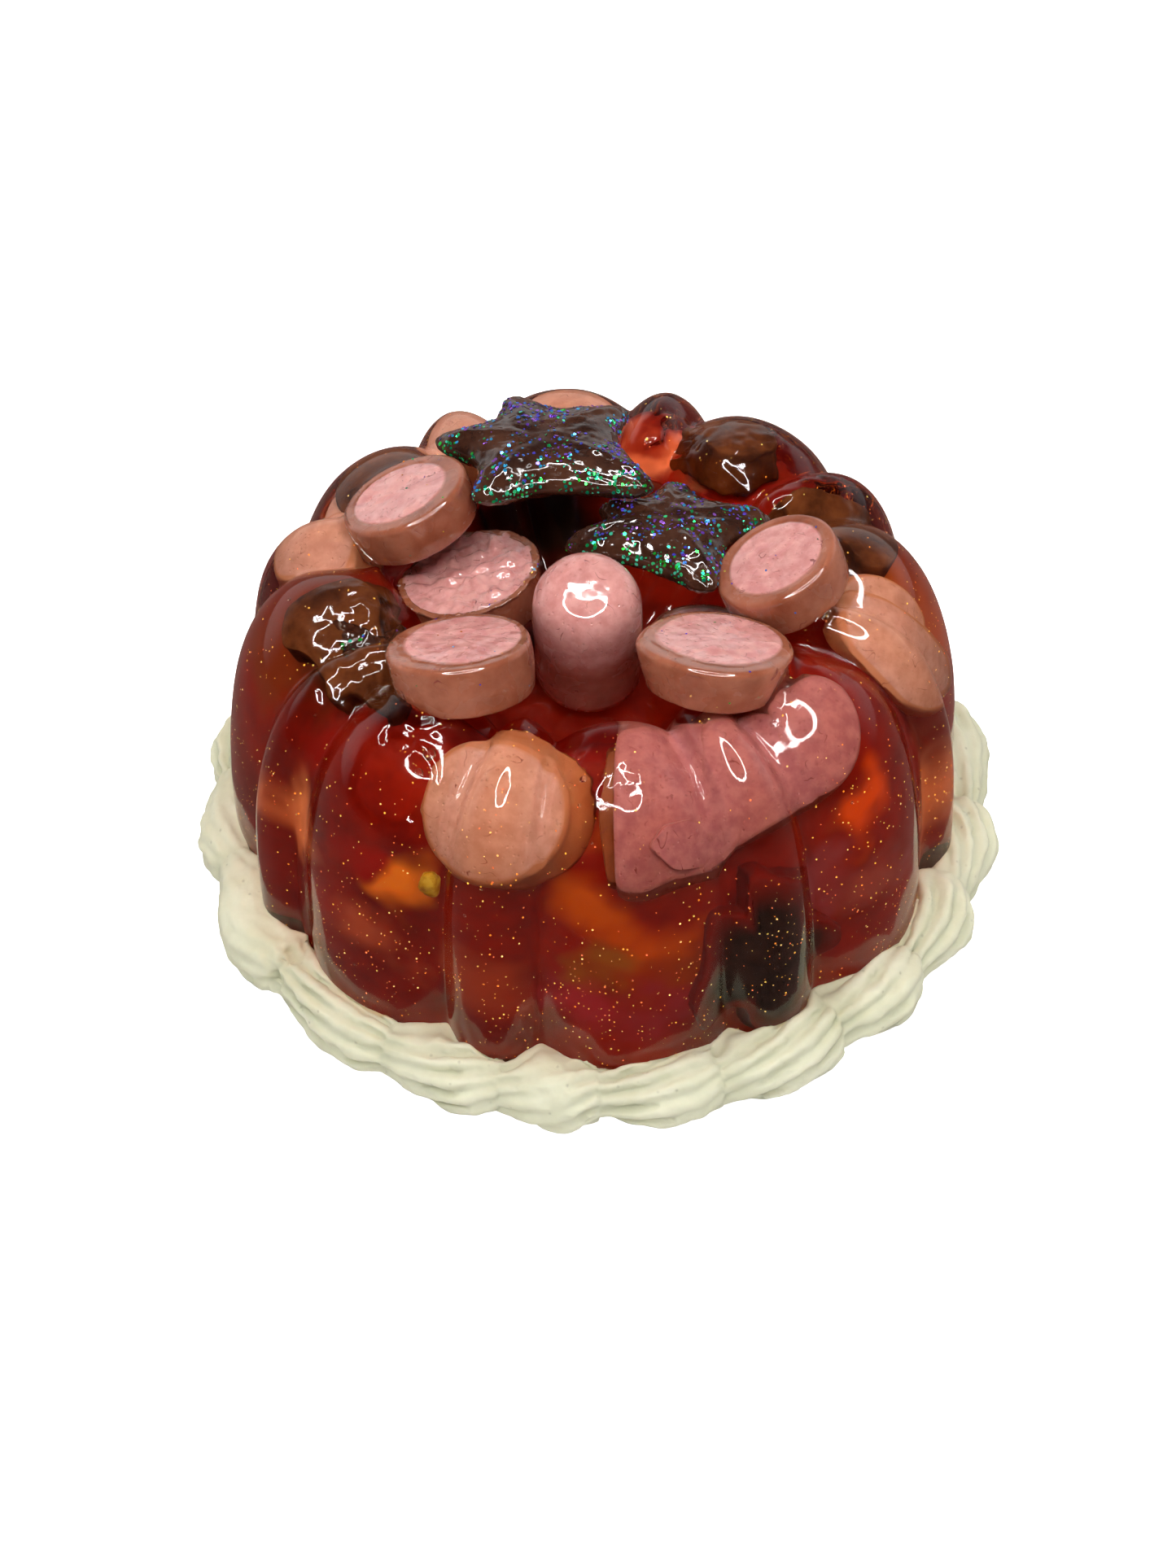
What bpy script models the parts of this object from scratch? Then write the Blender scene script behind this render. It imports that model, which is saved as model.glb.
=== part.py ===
"""A fluted moulded jelly with sausage slices and dark stars in its well, and a piped border at its foot.

Metres, +Z up. The origin is the middle of the jelly's flat foot. -Y faces the viewer and +X is to the right.
Angles round the jelly are measured from -Y towards +X.
"""
import math
import random

import bmesh
import bpy
from mathutils import Vector

# Driving sizes of the jelly
FOOT_RADIUS = 0.0580
HEIGHT = 0.0538
CREST_RADIUS = 0.0312
WELL_FLOOR_HEIGHT = 0.0320
WELL_FLOOR_RADIUS = 0.0090
WALL_ROUNDNESS = 0.60
SHOULDER_ROUNDNESS = 0.80
WELL_ROUNDNESS = 0.85

# Eight wide flutes and eight narrow ones take turns round the mould
PAIR_ANGLE = math.tau / 8
WIDE_FLUTE_ANGLE = math.radians(29.5)
NARROW_FLUTE_ANGLE = PAIR_ANGLE - WIDE_FLUTE_ANGLE
FLUTE_TURN = math.radians(4.8)
FLUTE_DEPTH = 0.0039
WIDE_FLUTE_CURVE = 2.3
NARROW_FLUTE_CURVE = 2.0
WELL_FLUTE_SHARE = 0.45
WIDE_FLUTE_STEPS = 8
NARROW_FLUTE_STEPS = 4
OUTER_STEPS = 11
INNER_STEPS = 6

# Clearance between pieces that lie against each other, more where curved faces meet
GAP = 0.0003
CURVED_GAP = 0.0006

# The sausage slices: centre of the upper cut face, its direction, radius, thickness, foot radius as a share
SLICES = {
    "slice_left_back": ((-0.0275, 0.0142, 0.0570), (-0.33, 0.15, 0.93), 0.0100, 0.0068, 0.96),
    "slice_left_low": ((-0.0181, 0.0054, 0.0482), (-0.17, 0.12, 0.98), 0.0106, 0.0066, 0.97),
    "slice_left_front": ((-0.0188, -0.0184, 0.0570), (-0.05, 0.36, 0.93), 0.0104, 0.0076, 0.95),
    "slice_right_front": ((0.0178, -0.0202, 0.0570), (0.11, 0.34, 0.93), 0.0108, 0.0072, 0.84),
    "slice_right_back": ((0.0270, -0.0037, 0.0572), (-0.40, 0.04, 0.91), 0.0094, 0.0070, 0.98),
    "slice_well": ((0.0168, -0.0052, 0.0448), (0.05, 0.20, 0.98), 0.0080, 0.0066, 0.97),
}
CORE_SHARE = 0.80
CASING_GROOVE = 0.0003
SLICE_EDGE = 0.0008
TURN_STEPS = 24

# The domed end of a sausage that stands in the well
END_RADIUS = 0.0081
END_LENGTH = 0.0230
END_TIP = (-0.0004, -0.0093, 0.0588)
END_DIRECTION = (0.0, -0.24, 0.97)
END_STEPS = 5

# The stars: centre, direction, reach of each point at its own angle in degrees, droop at the points
STARS = {
    "star_back": (
        (-0.0062, 0.0205, 0.0590), (0.0, 0.10, 1.0), 0.0030, 0.0012,
        ((108, 0.0170), (41, 0.0178), (-31, 0.0200), (-131, 0.0160), (164, 0.0180)),
    ),
    "star_front": (
        (0.0118, 0.0072, 0.0540), (0.0, 0.08, 1.0), 0.0027, 0.0010,
        ((79, 0.0125), (10, 0.0168), (-67, 0.0158), (-171, 0.0162), (146, 0.0120)),
    ),
    "star_left": (
        (-0.0298, -0.0120, 0.0462), (0.50, 0.08, 0.87), 0.0025, 0.0,
        ((149, 0.0112), (223, 0.0112), (295, 0.0090), (7, 0.0085), (79, 0.0090)),
    ),
}
STAR_WAIST = 0.52
STAR_TIP_WIDTH = 0.0034
STAR_CROWN = 0.60
CAGE_SWELL = 1.13

# The piped border: where each bead starts, in degrees, and how full it is, then even beads round the back
BEADS = (
    (-95, 1.00), (-77, 1.04), (-54, 0.84), (-32.5, 0.86), (-15, 0.92), (-1, 0.90), (16, 0.95), (35, 0.97),
    (51, 1.00), (67, 1.00), (83, 1.02),
)
BACK_START = 105
BACK_BEADS = 8
BORDER_CENTRE_RADIUS = 0.0585
BORDER_CENTRE_HEIGHT = 0.0028
BEAD_REACH = 0.0064
BEAD_RISE = 0.0068
NECK_SHARE = 0.62
BEAD_SKEW = 1.45
BEAD_UNEVENNESS = 0.06
RIDGE_DEPTH = 0.0010
RIDGE_STEPS = 14
FAN_TOP = math.radians(118)
FAN_FOOT = math.radians(-22)
BEAD_STEPS = 7
VALLEY_FILL = 0.5


def material(name, colour, roughness, alpha=1.0):
    """One Principled BSDF."""
    made = bpy.data.materials.new(name)
    made.use_nodes = True
    shader = made.node_tree.nodes["Principled BSDF"]
    shader.inputs["Base Color"].default_value = (*colour, 1.0)
    shader.inputs["Roughness"].default_value = roughness
    shader.inputs["Metallic"].default_value = 0.0
    shader.inputs["Alpha"].default_value = alpha
    return made


def new_object(name, bm, collection, finish=None):
    """Turns a bmesh into a linked object with one material."""
    mesh = bpy.data.meshes.new(name)
    bm.to_mesh(mesh)
    bm.free()
    if finish:
        mesh.materials.append(finish)
    made = bpy.data.objects.new(name, mesh)
    collection.objects.link(made)
    return made


def stand(obj, centre, direction):
    """Moves an object to centre and turns its own +Z to direction."""
    obj.location = centre
    obj.rotation_mode = "QUATERNION"
    obj.rotation_quaternion = Vector((0, 0, 1)).rotation_difference(Vector(direction).normalized())


def loft(bm, rings):
    """Joins closed rings of points, each to the next, with quads."""
    rows = [[bm.verts.new(point) for point in ring] for ring in rings]
    for low, high in zip(rows, rows[1:]):
        for i in range(len(low)):
            j = (i + 1) % len(low)
            bm.faces.new((low[i], low[j], high[j], high[i]))
    return rows


def on_ring(radius, height, angle):
    return Vector((radius * math.sin(angle), -radius * math.cos(angle), height))


def flute_cut(angle):
    """How far the wall lies inside the flutes' ridges at this angle."""
    along = (angle - FLUTE_TURN + WIDE_FLUTE_ANGLE / 2) % PAIR_ANGLE
    if along < WIDE_FLUTE_ANGLE:
        return FLUTE_DEPTH * abs(2 * along / WIDE_FLUTE_ANGLE - 1) ** WIDE_FLUTE_CURVE
    along -= WIDE_FLUTE_ANGLE
    return FLUTE_DEPTH * abs(2 * along / NARROW_FLUTE_ANGLE - 1) ** NARROW_FLUTE_CURVE


def flute_angles():
    """Even steps over each flute, so that every valley has a row of points."""
    angles = []
    for pair in range(round(math.tau / PAIR_ANGLE)):
        start = FLUTE_TURN - WIDE_FLUTE_ANGLE / 2 + pair * PAIR_ANGLE
        angles += [start + WIDE_FLUTE_ANGLE * i / WIDE_FLUTE_STEPS for i in range(WIDE_FLUTE_STEPS)]
        start += WIDE_FLUTE_ANGLE
        angles += [start + NARROW_FLUTE_ANGLE * i / NARROW_FLUTE_STEPS for i in range(NARROW_FLUTE_STEPS)]
    return angles


def ridge_outline():
    """The outline through a ridge, foot to well floor: radius, height, share of the flutes' depth, slope."""
    points = []
    for step in range(OUTER_STEPS + 1):
        slope = math.pi / 2 * step / OUTER_STEPS
        radius = CREST_RADIUS + (FOOT_RADIUS - CREST_RADIUS) * math.cos(slope) ** WALL_ROUNDNESS
        points.append((radius, HEIGHT * math.sin(slope) ** SHOULDER_ROUNDNESS, 1.0, slope))
    for step in range(1, INNER_STEPS + 1):
        slope = math.pi / 2 * step / INNER_STEPS
        radius = WELL_FLOOR_RADIUS + (CREST_RADIUS - WELL_FLOOR_RADIUS) * math.cos(slope) ** WELL_ROUNDNESS
        height = WELL_FLOOR_HEIGHT + (HEIGHT - WELL_FLOOR_HEIGHT) * (1 - math.sin(slope) ** 2) ** 0.75
        share = 1 - (1 - WELL_FLUTE_SHARE) * step / INNER_STEPS
        points.append((radius, height, share, math.pi / 2 + slope))
    return points


def wall_radius(height):
    """Radius of a ridge at a height on the outer wall."""
    slope = math.asin((height / HEIGHT) ** (1 / SHOULDER_ROUNDNESS))
    return CREST_RADIUS + (FOOT_RADIUS - CREST_RADIUS) * math.cos(slope) ** WALL_ROUNDNESS


def make_jelly(parts, finish):
    """The moulded body: flat foot, fluted wall, rounded crest and the well. Valleys are cut square to the wall."""
    rings = []
    for radius, height, share, slope in ridge_outline():
        ring = []
        for angle in flute_angles():
            cut = share * flute_cut(angle)
            ring.append(on_ring(radius - cut * math.cos(slope), height - cut * math.sin(slope), angle))
        rings.append(ring)
    bm = bmesh.new()
    rows = loft(bm, rings)
    bm.faces.new(reversed(rows[0]))
    bm.faces.new(rows[-1])
    return new_object("jelly_body", bm, parts, finish)


def slice_profile(radius, thickness, foot_share):
    """Half section of a slice below its upper face: core, groove inside the casing, rounded edges."""
    core = CORE_SHARE * radius
    foot = foot_share * radius
    return [
        (0, 0), (core, 0), (core + CASING_GROOVE, -CASING_GROOVE), (core + 2 * CASING_GROOVE, 0),
        (radius - SLICE_EDGE, -CASING_GROOVE / 2), (radius, -SLICE_EDGE),
        (foot, SLICE_EDGE - thickness), (foot - SLICE_EDGE, -thickness), (0, -thickness),
    ]


def turned(name, profile, collection, finish):
    """Turns a half section, listed top to bottom, round its own +Z."""
    bm = bmesh.new()
    row = [bm.verts.new((radius, 0, height)) for radius, height in profile]
    for above, below in zip(row, row[1:]):
        bm.edges.new((above, below))
    made = new_object(name, bm, collection, finish)
    screw = made.modifiers.new("turn", "SCREW")
    screw.steps = screw.render_steps = TURN_STEPS
    screw.use_merge_vertices = True
    screw.merge_threshold = 0.00005
    return made


def make_slice(name, parts, finish):
    centre, direction, radius, thickness, foot_share = SLICES[name]
    made = turned(name, slice_profile(radius, thickness, foot_share), parts, finish)
    stand(made, centre, direction)
    return made


def make_sausage_end(parts, finish):
    """A length of sausage with a domed end, cut off flat below."""
    profile = []
    for step in range(END_STEPS + 1):
        slope = math.pi / 2 * step / END_STEPS
        profile.append((END_RADIUS * math.sin(slope), END_RADIUS * (math.cos(slope) - 1)))
    profile += [(END_RADIUS, SLICE_EDGE - END_LENGTH), (END_RADIUS - SLICE_EDGE, -END_LENGTH), (0, -END_LENGTH)]
    made = turned("sausage_end", profile, parts, finish)
    stand(made, END_TIP, END_DIRECTION)
    return made


def star_ring(points, height, share, droop):
    """A star's outline at one height: two points on each blunt tip and one in each waist."""
    ring = []
    reach_limit = max(reach for _, reach in points)
    for i, (angle, reach) in enumerate(points):
        after_angle, after_reach = points[(i + 1) % len(points)]
        turn = math.radians(angle)
        along = Vector((math.cos(turn), math.sin(turn), 0))
        across = Vector((-along.y, along.x, 0)) * STAR_TIP_WIDTH / 2
        tip_drop = Vector((0, 0, height - droop * (reach / reach_limit) ** 2))
        ring += [along * reach * share + across + tip_drop, along * reach * share - across + tip_drop]
        swing = (angle - after_angle) % 360
        middle = math.radians(angle - swing / 2)
        waist = STAR_WAIST * (reach + after_reach) / 2 * share
        ring.append(Vector((waist * math.cos(middle), waist * math.sin(middle), height)))
    return ring


def star_cage(bm, half_thickness, droop, points, grow=0.0):
    """A coarse cage of a puffy star, a little large because rounding shrinks it."""
    tall = half_thickness * CAGE_SWELL + grow
    reaches = [(angle, reach * CAGE_SWELL + grow) for angle, reach in points]
    outlines = [
        star_ring(reaches, -tall, STAR_CROWN, droop),
        star_ring(reaches, 0, 1.0, droop),
        star_ring(reaches, tall, STAR_CROWN, droop),
    ]
    rows = loft(bm, outlines)
    for row, height in ((rows[0], -tall), (rows[-1], tall)):
        hub = bm.verts.new((0, 0, height))
        for i, vert in enumerate(row):
            bm.faces.new((vert, row[(i + 1) % len(row)], hub))
    bmesh.ops.recalc_face_normals(bm, faces=bm.faces)


def make_star(name, collection, finish=None, grow=0.0, suffix=""):
    centre, direction, half_thickness, droop, points = STARS[name]
    ordered = sorted(points, key=lambda point: -(point[0] % 360))
    bm = bmesh.new()
    star_cage(bm, half_thickness, droop, ordered, grow)
    made = new_object(name + suffix, bm, collection, finish)
    rounding = made.modifiers.new("rounding", "SUBSURF")
    rounding.levels = rounding.render_levels = 1
    stand(made, centre, direction)
    return made


def bead_spans():
    """Start angle, end angle and fullness of every bead, once round."""
    draw = random.Random(5)
    pitch = (360 + BEADS[0][0] - BACK_START) / BACK_BEADS
    starts = list(BEADS)
    for i in range(BACK_BEADS):
        starts.append((BACK_START + pitch * i, 1 + draw.uniform(-BEAD_UNEVENNESS, BEAD_UNEVENNESS)))
    ends = [start for start, _ in starts[1:]] + [360 + BEADS[0][0]]
    return [(math.radians(a), math.radians(b), full) for (a, full), b in zip(starts, ends)]


def border_section(angle, swell):
    """One closed section of the border: up the jelly's wall, over the ridged bead and back under it."""
    cut = VALLEY_FILL * flute_cut(angle)
    points = []
    for step in range(RIDGE_STEPS + 1):
        fan = FAN_TOP + (FAN_FOOT - FAN_TOP) * step / RIDGE_STEPS
        valley = RIDGE_DEPTH * swell * (step % 2)
        radius = BORDER_CENTRE_RADIUS + (BEAD_REACH * swell - valley) * math.cos(fan)
        height = BORDER_CENTRE_HEIGHT + (BEAD_RISE * math.sqrt(swell) - valley) * math.sin(fan)
        height = max(height, 0.0)
        radius = max(radius, wall_radius(height) - cut + CURVED_GAP)
        points.append((radius, height))
    foot = wall_radius(0.0) - cut + CURVED_GAP
    return [(foot, 0.0)] + points + [((foot + points[-1][0]) / 2, 0.0)]


def make_border(parts, finish):
    """Shells piped round the foot: each swells from a thin tail, and its ridges run together at the necks."""
    rings = []
    for start, end, full in bead_spans():
        for step in range(BEAD_STEPS):
            share = step / BEAD_STEPS
            angle = start + (end - start) * share
            swell = NECK_SHARE + (full - NECK_SHARE) * math.sin(math.pi * share ** BEAD_SKEW) ** 0.8
            rings.append([on_ring(radius, height, angle) for radius, height in border_section(angle, swell)])
    bm = bmesh.new()
    loft(bm, rings)
    bm.verts.ensure_lookup_table()
    count = len(rings[0])
    last, first = bm.verts[-count:], bm.verts[:count]
    for i in range(count):
        j = (i + 1) % count
        bm.faces.new((last[i], last[j], first[j], first[i]))
    bmesh.ops.recalc_face_normals(bm, faces=bm.faces)
    return new_object("cream_border", bm, parts, finish)


def round_cutter(name, radius, depth, top, centre, direction, cutters):
    """A cylinder from top above the centre down its axis, to press a pocket into the jelly."""
    bm = bmesh.new()
    bmesh.ops.create_cone(
        bm, cap_ends=True, segments=TURN_STEPS, radius1=radius, radius2=radius, depth=depth
    )
    bmesh.ops.translate(bm, verts=bm.verts, vec=(0, 0, top - depth / 2))
    made = new_object(name, bm, cutters)
    stand(made, centre, direction)
    return made


def press_pockets(jelly, cutters):
    """Hollows in the jelly where the pieces sit, a clearance larger than the pieces."""
    above = 2 * FLUTE_DEPTH
    made = []
    for name, (centre, direction, radius, thickness, _) in SLICES.items():
        made.append(round_cutter(
            name + "_pocket", radius + GAP, thickness + GAP + above, above, centre, direction, cutters))
    made.append(round_cutter(
        "sausage_end_pocket", END_RADIUS + GAP, END_LENGTH + GAP + above, above, END_TIP, END_DIRECTION, cutters))
    made.append(make_star("star_left", cutters, grow=CURVED_GAP, suffix="_pocket"))
    for cutter in made:
        cutter.hide_render = True
        cutter.display_type = "WIRE"
    pockets = jelly.modifiers.new("pockets", "BOOLEAN")
    pockets.operation = "DIFFERENCE"
    pockets.operand_type = "COLLECTION"
    pockets.collection = cutters
    pockets.solver = "EXACT"


def shade_smooth(obj, edge_degrees):
    """Smooth shading, with the sharp edges kept."""
    obj.data.shade_smooth()
    obj.data.set_sharp_from_angle(angle=math.radians(edge_degrees))


def main():
    for obj in list(bpy.data.objects):
        bpy.data.objects.remove(obj, do_unlink=True)
    parts = bpy.data.collections.new("moulded_jelly")
    cutters = bpy.data.collections.new("pocket_cutters")
    bpy.context.scene.collection.children.link(parts)
    bpy.context.scene.collection.children.link(cutters)

    amber = material("amber_jelly", (0.23, 0.035, 0.012), 0.06, 0.75)
    pink = material("sausage_pink", (0.62, 0.33, 0.30), 0.35)
    dark = material("glitter_star_brown", (0.045, 0.03, 0.028), 0.12)
    cream = material("piped_cream", (0.82, 0.82, 0.68), 0.75)

    jelly = make_jelly(parts, amber)
    make_border(parts, cream)
    for name in SLICES:
        make_slice(name, parts, pink)
    make_sausage_end(parts, pink)
    for name in STARS:
        make_star(name, parts, dark)
    press_pockets(jelly, cutters)
    for obj in parts.objects:
        shade_smooth(obj, 35)


main()
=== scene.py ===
# %% [markdown]
# # A fluted jelly with sausage slices, dark stars and a piped border
# The real dessert is a clear amber jelly turned out of a fluted ring mould. Slices of sausage and
# glittering dark stars stand in its well, more of them are sunk under its skin, and a rope of white
# cream runs round its foot. The solids of the part give the places and sizes. This lesson dresses
# them: each step makes one kind of piece, or one finish, over the solid that it stands for.

# %% Load the solids as a fixed frame
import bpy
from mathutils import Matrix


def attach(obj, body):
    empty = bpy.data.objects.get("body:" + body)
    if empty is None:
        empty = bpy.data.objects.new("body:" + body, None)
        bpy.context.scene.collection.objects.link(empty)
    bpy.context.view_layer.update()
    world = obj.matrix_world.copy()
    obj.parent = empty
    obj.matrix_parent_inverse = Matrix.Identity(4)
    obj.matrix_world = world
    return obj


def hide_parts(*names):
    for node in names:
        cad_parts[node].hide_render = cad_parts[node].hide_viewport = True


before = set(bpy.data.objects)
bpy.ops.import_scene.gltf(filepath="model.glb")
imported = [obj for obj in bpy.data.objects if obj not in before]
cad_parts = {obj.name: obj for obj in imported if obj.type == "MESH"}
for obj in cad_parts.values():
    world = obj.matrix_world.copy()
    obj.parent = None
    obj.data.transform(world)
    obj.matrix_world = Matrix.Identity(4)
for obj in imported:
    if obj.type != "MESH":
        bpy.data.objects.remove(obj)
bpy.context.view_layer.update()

import math
import random

import bmesh
import bpy
import numpy as np
from mathutils import Matrix, Vector, noise
from mathutils.bvhtree import BVHTree

scene = bpy.context.scene
MM = 0.001
print("solids:", ", ".join(sorted(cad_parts)))

# %% [markdown]
# ## Meshes from rows of points
# Almost every piece here is a skin over rows of points: rings round the jelly, rings round a slice,
# sections along the cream. One helper joins the rows with quads. Numpy works out all the points of a
# row at once, which keeps the script quick even for a hundred thousand points.

# %% Helpers for points and meshes
def mm(*values):
    """A point or size given in millimetres."""
    return np.array(values, float) * MM


def unit(vector):
    """The same direction with length 1."""
    vector = np.asarray(vector, float)
    return vector / np.linalg.norm(vector)


def grid_faces(rows, columns, wrap_rows=False):
    """Quads between neighbouring rows of a grid whose columns run all the way round."""
    i, j = np.meshgrid(np.arange(rows if wrap_rows else rows - 1), np.arange(columns), indexing="ij")
    up, across = (i + 1) % rows, (j + 1) % columns
    corners = (i * columns + j, i * columns + across, up * columns + across, up * columns + j)
    return np.stack(corners, -1).reshape(-1, 4).tolist()


def closed_faces(rows, columns, flip=False):
    """Quads over rings, with one face over each end. Flipped, they suit rings that run from face to foot."""
    faces = grid_faces(rows, columns)
    faces.append(list(range(columns))[::-1])
    faces.append([(rows - 1) * columns + j for j in range(columns)])
    return [face[::-1] for face in faces] if flip else faces


def new_mesh(name, points, faces, finish):
    """A mesh object with one finish."""
    mesh = bpy.data.meshes.new(name)
    mesh.from_pydata(np.asarray(points).reshape(-1, 3).tolist(), [], faces)
    mesh.materials.append(finish)
    made = bpy.data.objects.new(name, mesh)
    scene.collection.objects.link(made)
    return made


def new_piece(name, points, faces, finish, stands_for=(), smooth=True):
    """A mesh piece that rides with the dessert."""
    piece = new_mesh(name, points, faces, finish)
    if smooth:
        piece.data.shade_smooth()
    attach(piece, "root")
    if stands_for:
        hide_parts(*stands_for)
    return piece


def keep_values(piece, label, values):
    """One number for each point of the mesh, or one for all, which a material can read by its name."""
    spread = np.array(np.broadcast_to(np.ravel(values), len(piece.data.vertices)), float)
    piece.data.attributes.new(label, "FLOAT", "POINT").data.foreach_set("value", spread)


def ringed_piece(name, rows, finish, slot, stands_for=(), **kept_values):
    """A closed piece over rings that run from the middle of its face to the middle of its foot."""
    piece = new_piece(name, rows, closed_faces(*rows.shape[:2], flip=True), finish, stands_for)
    for label, values in kept_values.items():
        keep_values(piece, label, values)
    return piece


def lumps(points, size, seed=0.0):
    """Smooth noise from -1 to 1 at each point, with bumps of about that size in metres."""
    flat = (np.asarray(points).reshape(-1, 3) / size + seed).tolist()
    return np.array([noise.noise(p) for p in flat]).reshape(np.shape(points)[:-1])


def ease(values, start, end):
    """0 before start, 1 after end, smooth between them."""
    share = np.clip((np.asarray(values, float) - start) / (end - start), 0, 1)
    return share * share * (3 - 2 * share)


# %% [markdown]
# ## Node helpers
# A material is a small graph. Placing each node by hand takes several lines, so one helper makes a
# node, sets it up and links what feeds it. A second helper opens a node group with named sockets:
# an effect that several finishes share is made once as a group and placed in each with its own values.

# %% Helpers for nodes
def srgb(red, green, blue):
    """A colour as read off a picture, 0 to 255, turned into the linear values that shaders use."""
    def linear(v):
        v /= 255
        return v / 12.92 if v <= 0.04045 else ((v + 0.055) / 1.055) ** 2.4
    return (linear(red), linear(green), linear(blue), 1.0)


def fill(node, sockets):
    """Sets or links a node's inputs, by number or by name. An underscore stands for a space in a name."""
    for label, value in sockets.items():
        socket = node.inputs[label.replace("_", " ") if isinstance(label, str) else label]
        if isinstance(value, bpy.types.NodeSocket):
            node.id_data.links.new(value, socket)
        else:
            socket.default_value = value
    return node


def place(tree, kind, sockets=None, **settings):
    """Adds a node, sets its options, and sets or links its inputs."""
    node = tree.nodes.new("ShaderNode" + kind)
    for label, value in settings.items():
        setattr(node, label, value)
    return fill(node, sockets or {})


def sums(tree, operation, first, second=0.0, clamp=False):
    """One step of arithmetic."""
    return place(tree, "Math", {0: first, 1: second}, operation=operation, use_clamp=clamp).outputs[0]


def ramp(tree, value, start, end, low=0.0, high=1.0):
    """Maps start..end smoothly onto low..high."""
    return place(tree, "MapRange", {0: value, 1: start, 2: end, 3: low, 4: high},
                 interpolation_type="SMOOTHSTEP").outputs[0]


def mix_colours(tree, share, first, second):
    """The first colour where share is 0, the second where it is 1."""
    return place(tree, "Mix", {0: share, 6: first, 7: second}, data_type="RGBA").outputs[2]


def open_group(name, takes, gives):
    """A shader node group with named sockets. Returns it with the sockets to read and to feed."""
    group = bpy.data.node_groups.new(name, "ShaderNodeTree")
    for label, value in takes.items():
        kind = {3: "NodeSocketVector", 4: "NodeSocketColor"}.get(np.size(value), "NodeSocketFloat")
        made = group.interface.new_socket(label, in_out="INPUT", socket_type=kind)
        if value is not None:
            made.default_value = value
    for label, kind in gives.items():
        group.interface.new_socket(label, in_out="OUTPUT", socket_type="NodeSocket" + kind)
    return group, group.nodes.new("NodeGroupInput").outputs, group.nodes.new("NodeGroupOutput").inputs


def use_group(tree, group, sockets):
    """Places a group in a material with its own values."""
    return place(tree, "Group", sockets, node_tree=group).outputs


def new_finish(name, **plain):
    """A material with one Principled BSDF, and the place on the object as its coordinates."""
    finish = bpy.data.materials.new(name)
    finish.use_nodes = True
    tree = finish.node_tree
    shader = fill(tree.nodes["Principled BSDF"], plain)
    return finish, tree, shader, place(tree, "TexCoord").outputs["Object"]


def kept(tree, label, output="Fac"):
    """What the mesh keeps for its points under that name."""
    return place(tree, "Attribute", attribute_name=label).outputs[output]


def roughen(tree, shader, height, strength, distance):
    """Tilts a shader's normal by a height."""
    bump = place(tree, "Bump", {"Strength": strength, "Distance": distance, "Height": height})
    fill(shader, {"Normal": bump.outputs[0]})


# %% [markdown]
# ## Shared effects
# Three effects come back all over this dessert. **Mottle** is the uneven colour of anything that was
# mixed by hand. **Pits** are the pores and tiny knocks that catch the light. **Wet film** is the clear
# glaze that has run over the toppings: it lies thick in some places and is missing in others, so it
# gives a mask for the coat and a height for the ripples. Each is made once as a group.

# %% The shared node groups
mottle, get, put = open_group(
    "mottle",
    {"Place": (0, 0, 0), "Scale": 300.0, "First": (0, 0, 0, 1), "Second": (1, 1, 1, 1), "Edge": 0.15},
    {"Colour": "Color", "Mask": "Float"})
cloud = place(mottle, "TexNoise", {
    "Vector": get["Place"], "Scale": get["Scale"], "Detail": 5.0, "Roughness": 0.6})
low_edge = sums(mottle, "SUBTRACT", 0.5, get["Edge"])
high_edge = sums(mottle, "ADD", 0.5, get["Edge"])
share = ramp(mottle, cloud.outputs[0], low_edge, high_edge)
mottle.links.new(share, put["Mask"])
mottle.links.new(mix_colours(mottle, share, get["First"], get["Second"]), put["Colour"])

pits, get, put = open_group(
    "pits", {"Place": (0, 0, 0), "Scale": 900.0, "Size": 0.25, "Share": 0.5},
    {"Height": "Float", "Mask": "Float"})
cells = place(pits, "TexVoronoi", {"Vector": get["Place"], "Scale": get["Scale"]})
lot = place(pits, "SeparateColor", {0: cells.outputs["Color"]}).outputs[0]
chosen = sums(pits, "LESS_THAN", lot, get["Share"])
bowl = ramp(pits, cells.outputs["Distance"], 0.0, get["Size"], 1.0, 0.0)
hole = sums(pits, "MULTIPLY", bowl, chosen)
pits.links.new(hole, put["Mask"])
pits.links.new(sums(pits, "MULTIPLY", hole, -1.0), put["Height"])

wet_film, get, put = open_group(
    "wet film", {"Place": (0, 0, 0), "Scale": 180.0, "Cover": 0.5, "Dry": 0.5, "Wet": 0.06},
    {"Coat": "Float", "Roughness": "Float", "Height": "Float"})
patch = place(wet_film, "TexNoise", {
    "Vector": get["Place"], "Scale": get["Scale"], "Detail": 3.0, "Distortion": 0.6})
bare = sums(wet_film, "SUBTRACT", 1.0, get["Cover"])
film = ramp(wet_film, patch.outputs[0],
            sums(wet_film, "SUBTRACT", bare, 0.06), sums(wet_film, "ADD", bare, 0.06))
finer = place(wet_film, "TexNoise", {
    "Vector": get["Place"], "Scale": sums(wet_film, "MULTIPLY", get["Scale"], 4.0), "Detail": 2.0})
wet_film.links.new(film, put["Coat"])
wet_film.links.new(ramp(wet_film, film, 0.0, 1.0, get["Dry"], get["Wet"]), put["Roughness"])
height = sums(wet_film, "ADD", film, sums(wet_film, "MULTIPLY", finer.outputs[0], 0.35))
wet_film.links.new(height, put["Height"])


def mottled(tree, here, scale, first, second, edge):
    """The mottle between two colours that were read off a picture."""
    values = {"Place": here, "Scale": scale, "First": srgb(*first), "Second": srgb(*second), "Edge": edge}
    return use_group(tree, mottle, values)["Colour"]


print("groups:", ", ".join(group.name for group in bpy.data.node_groups))

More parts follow.
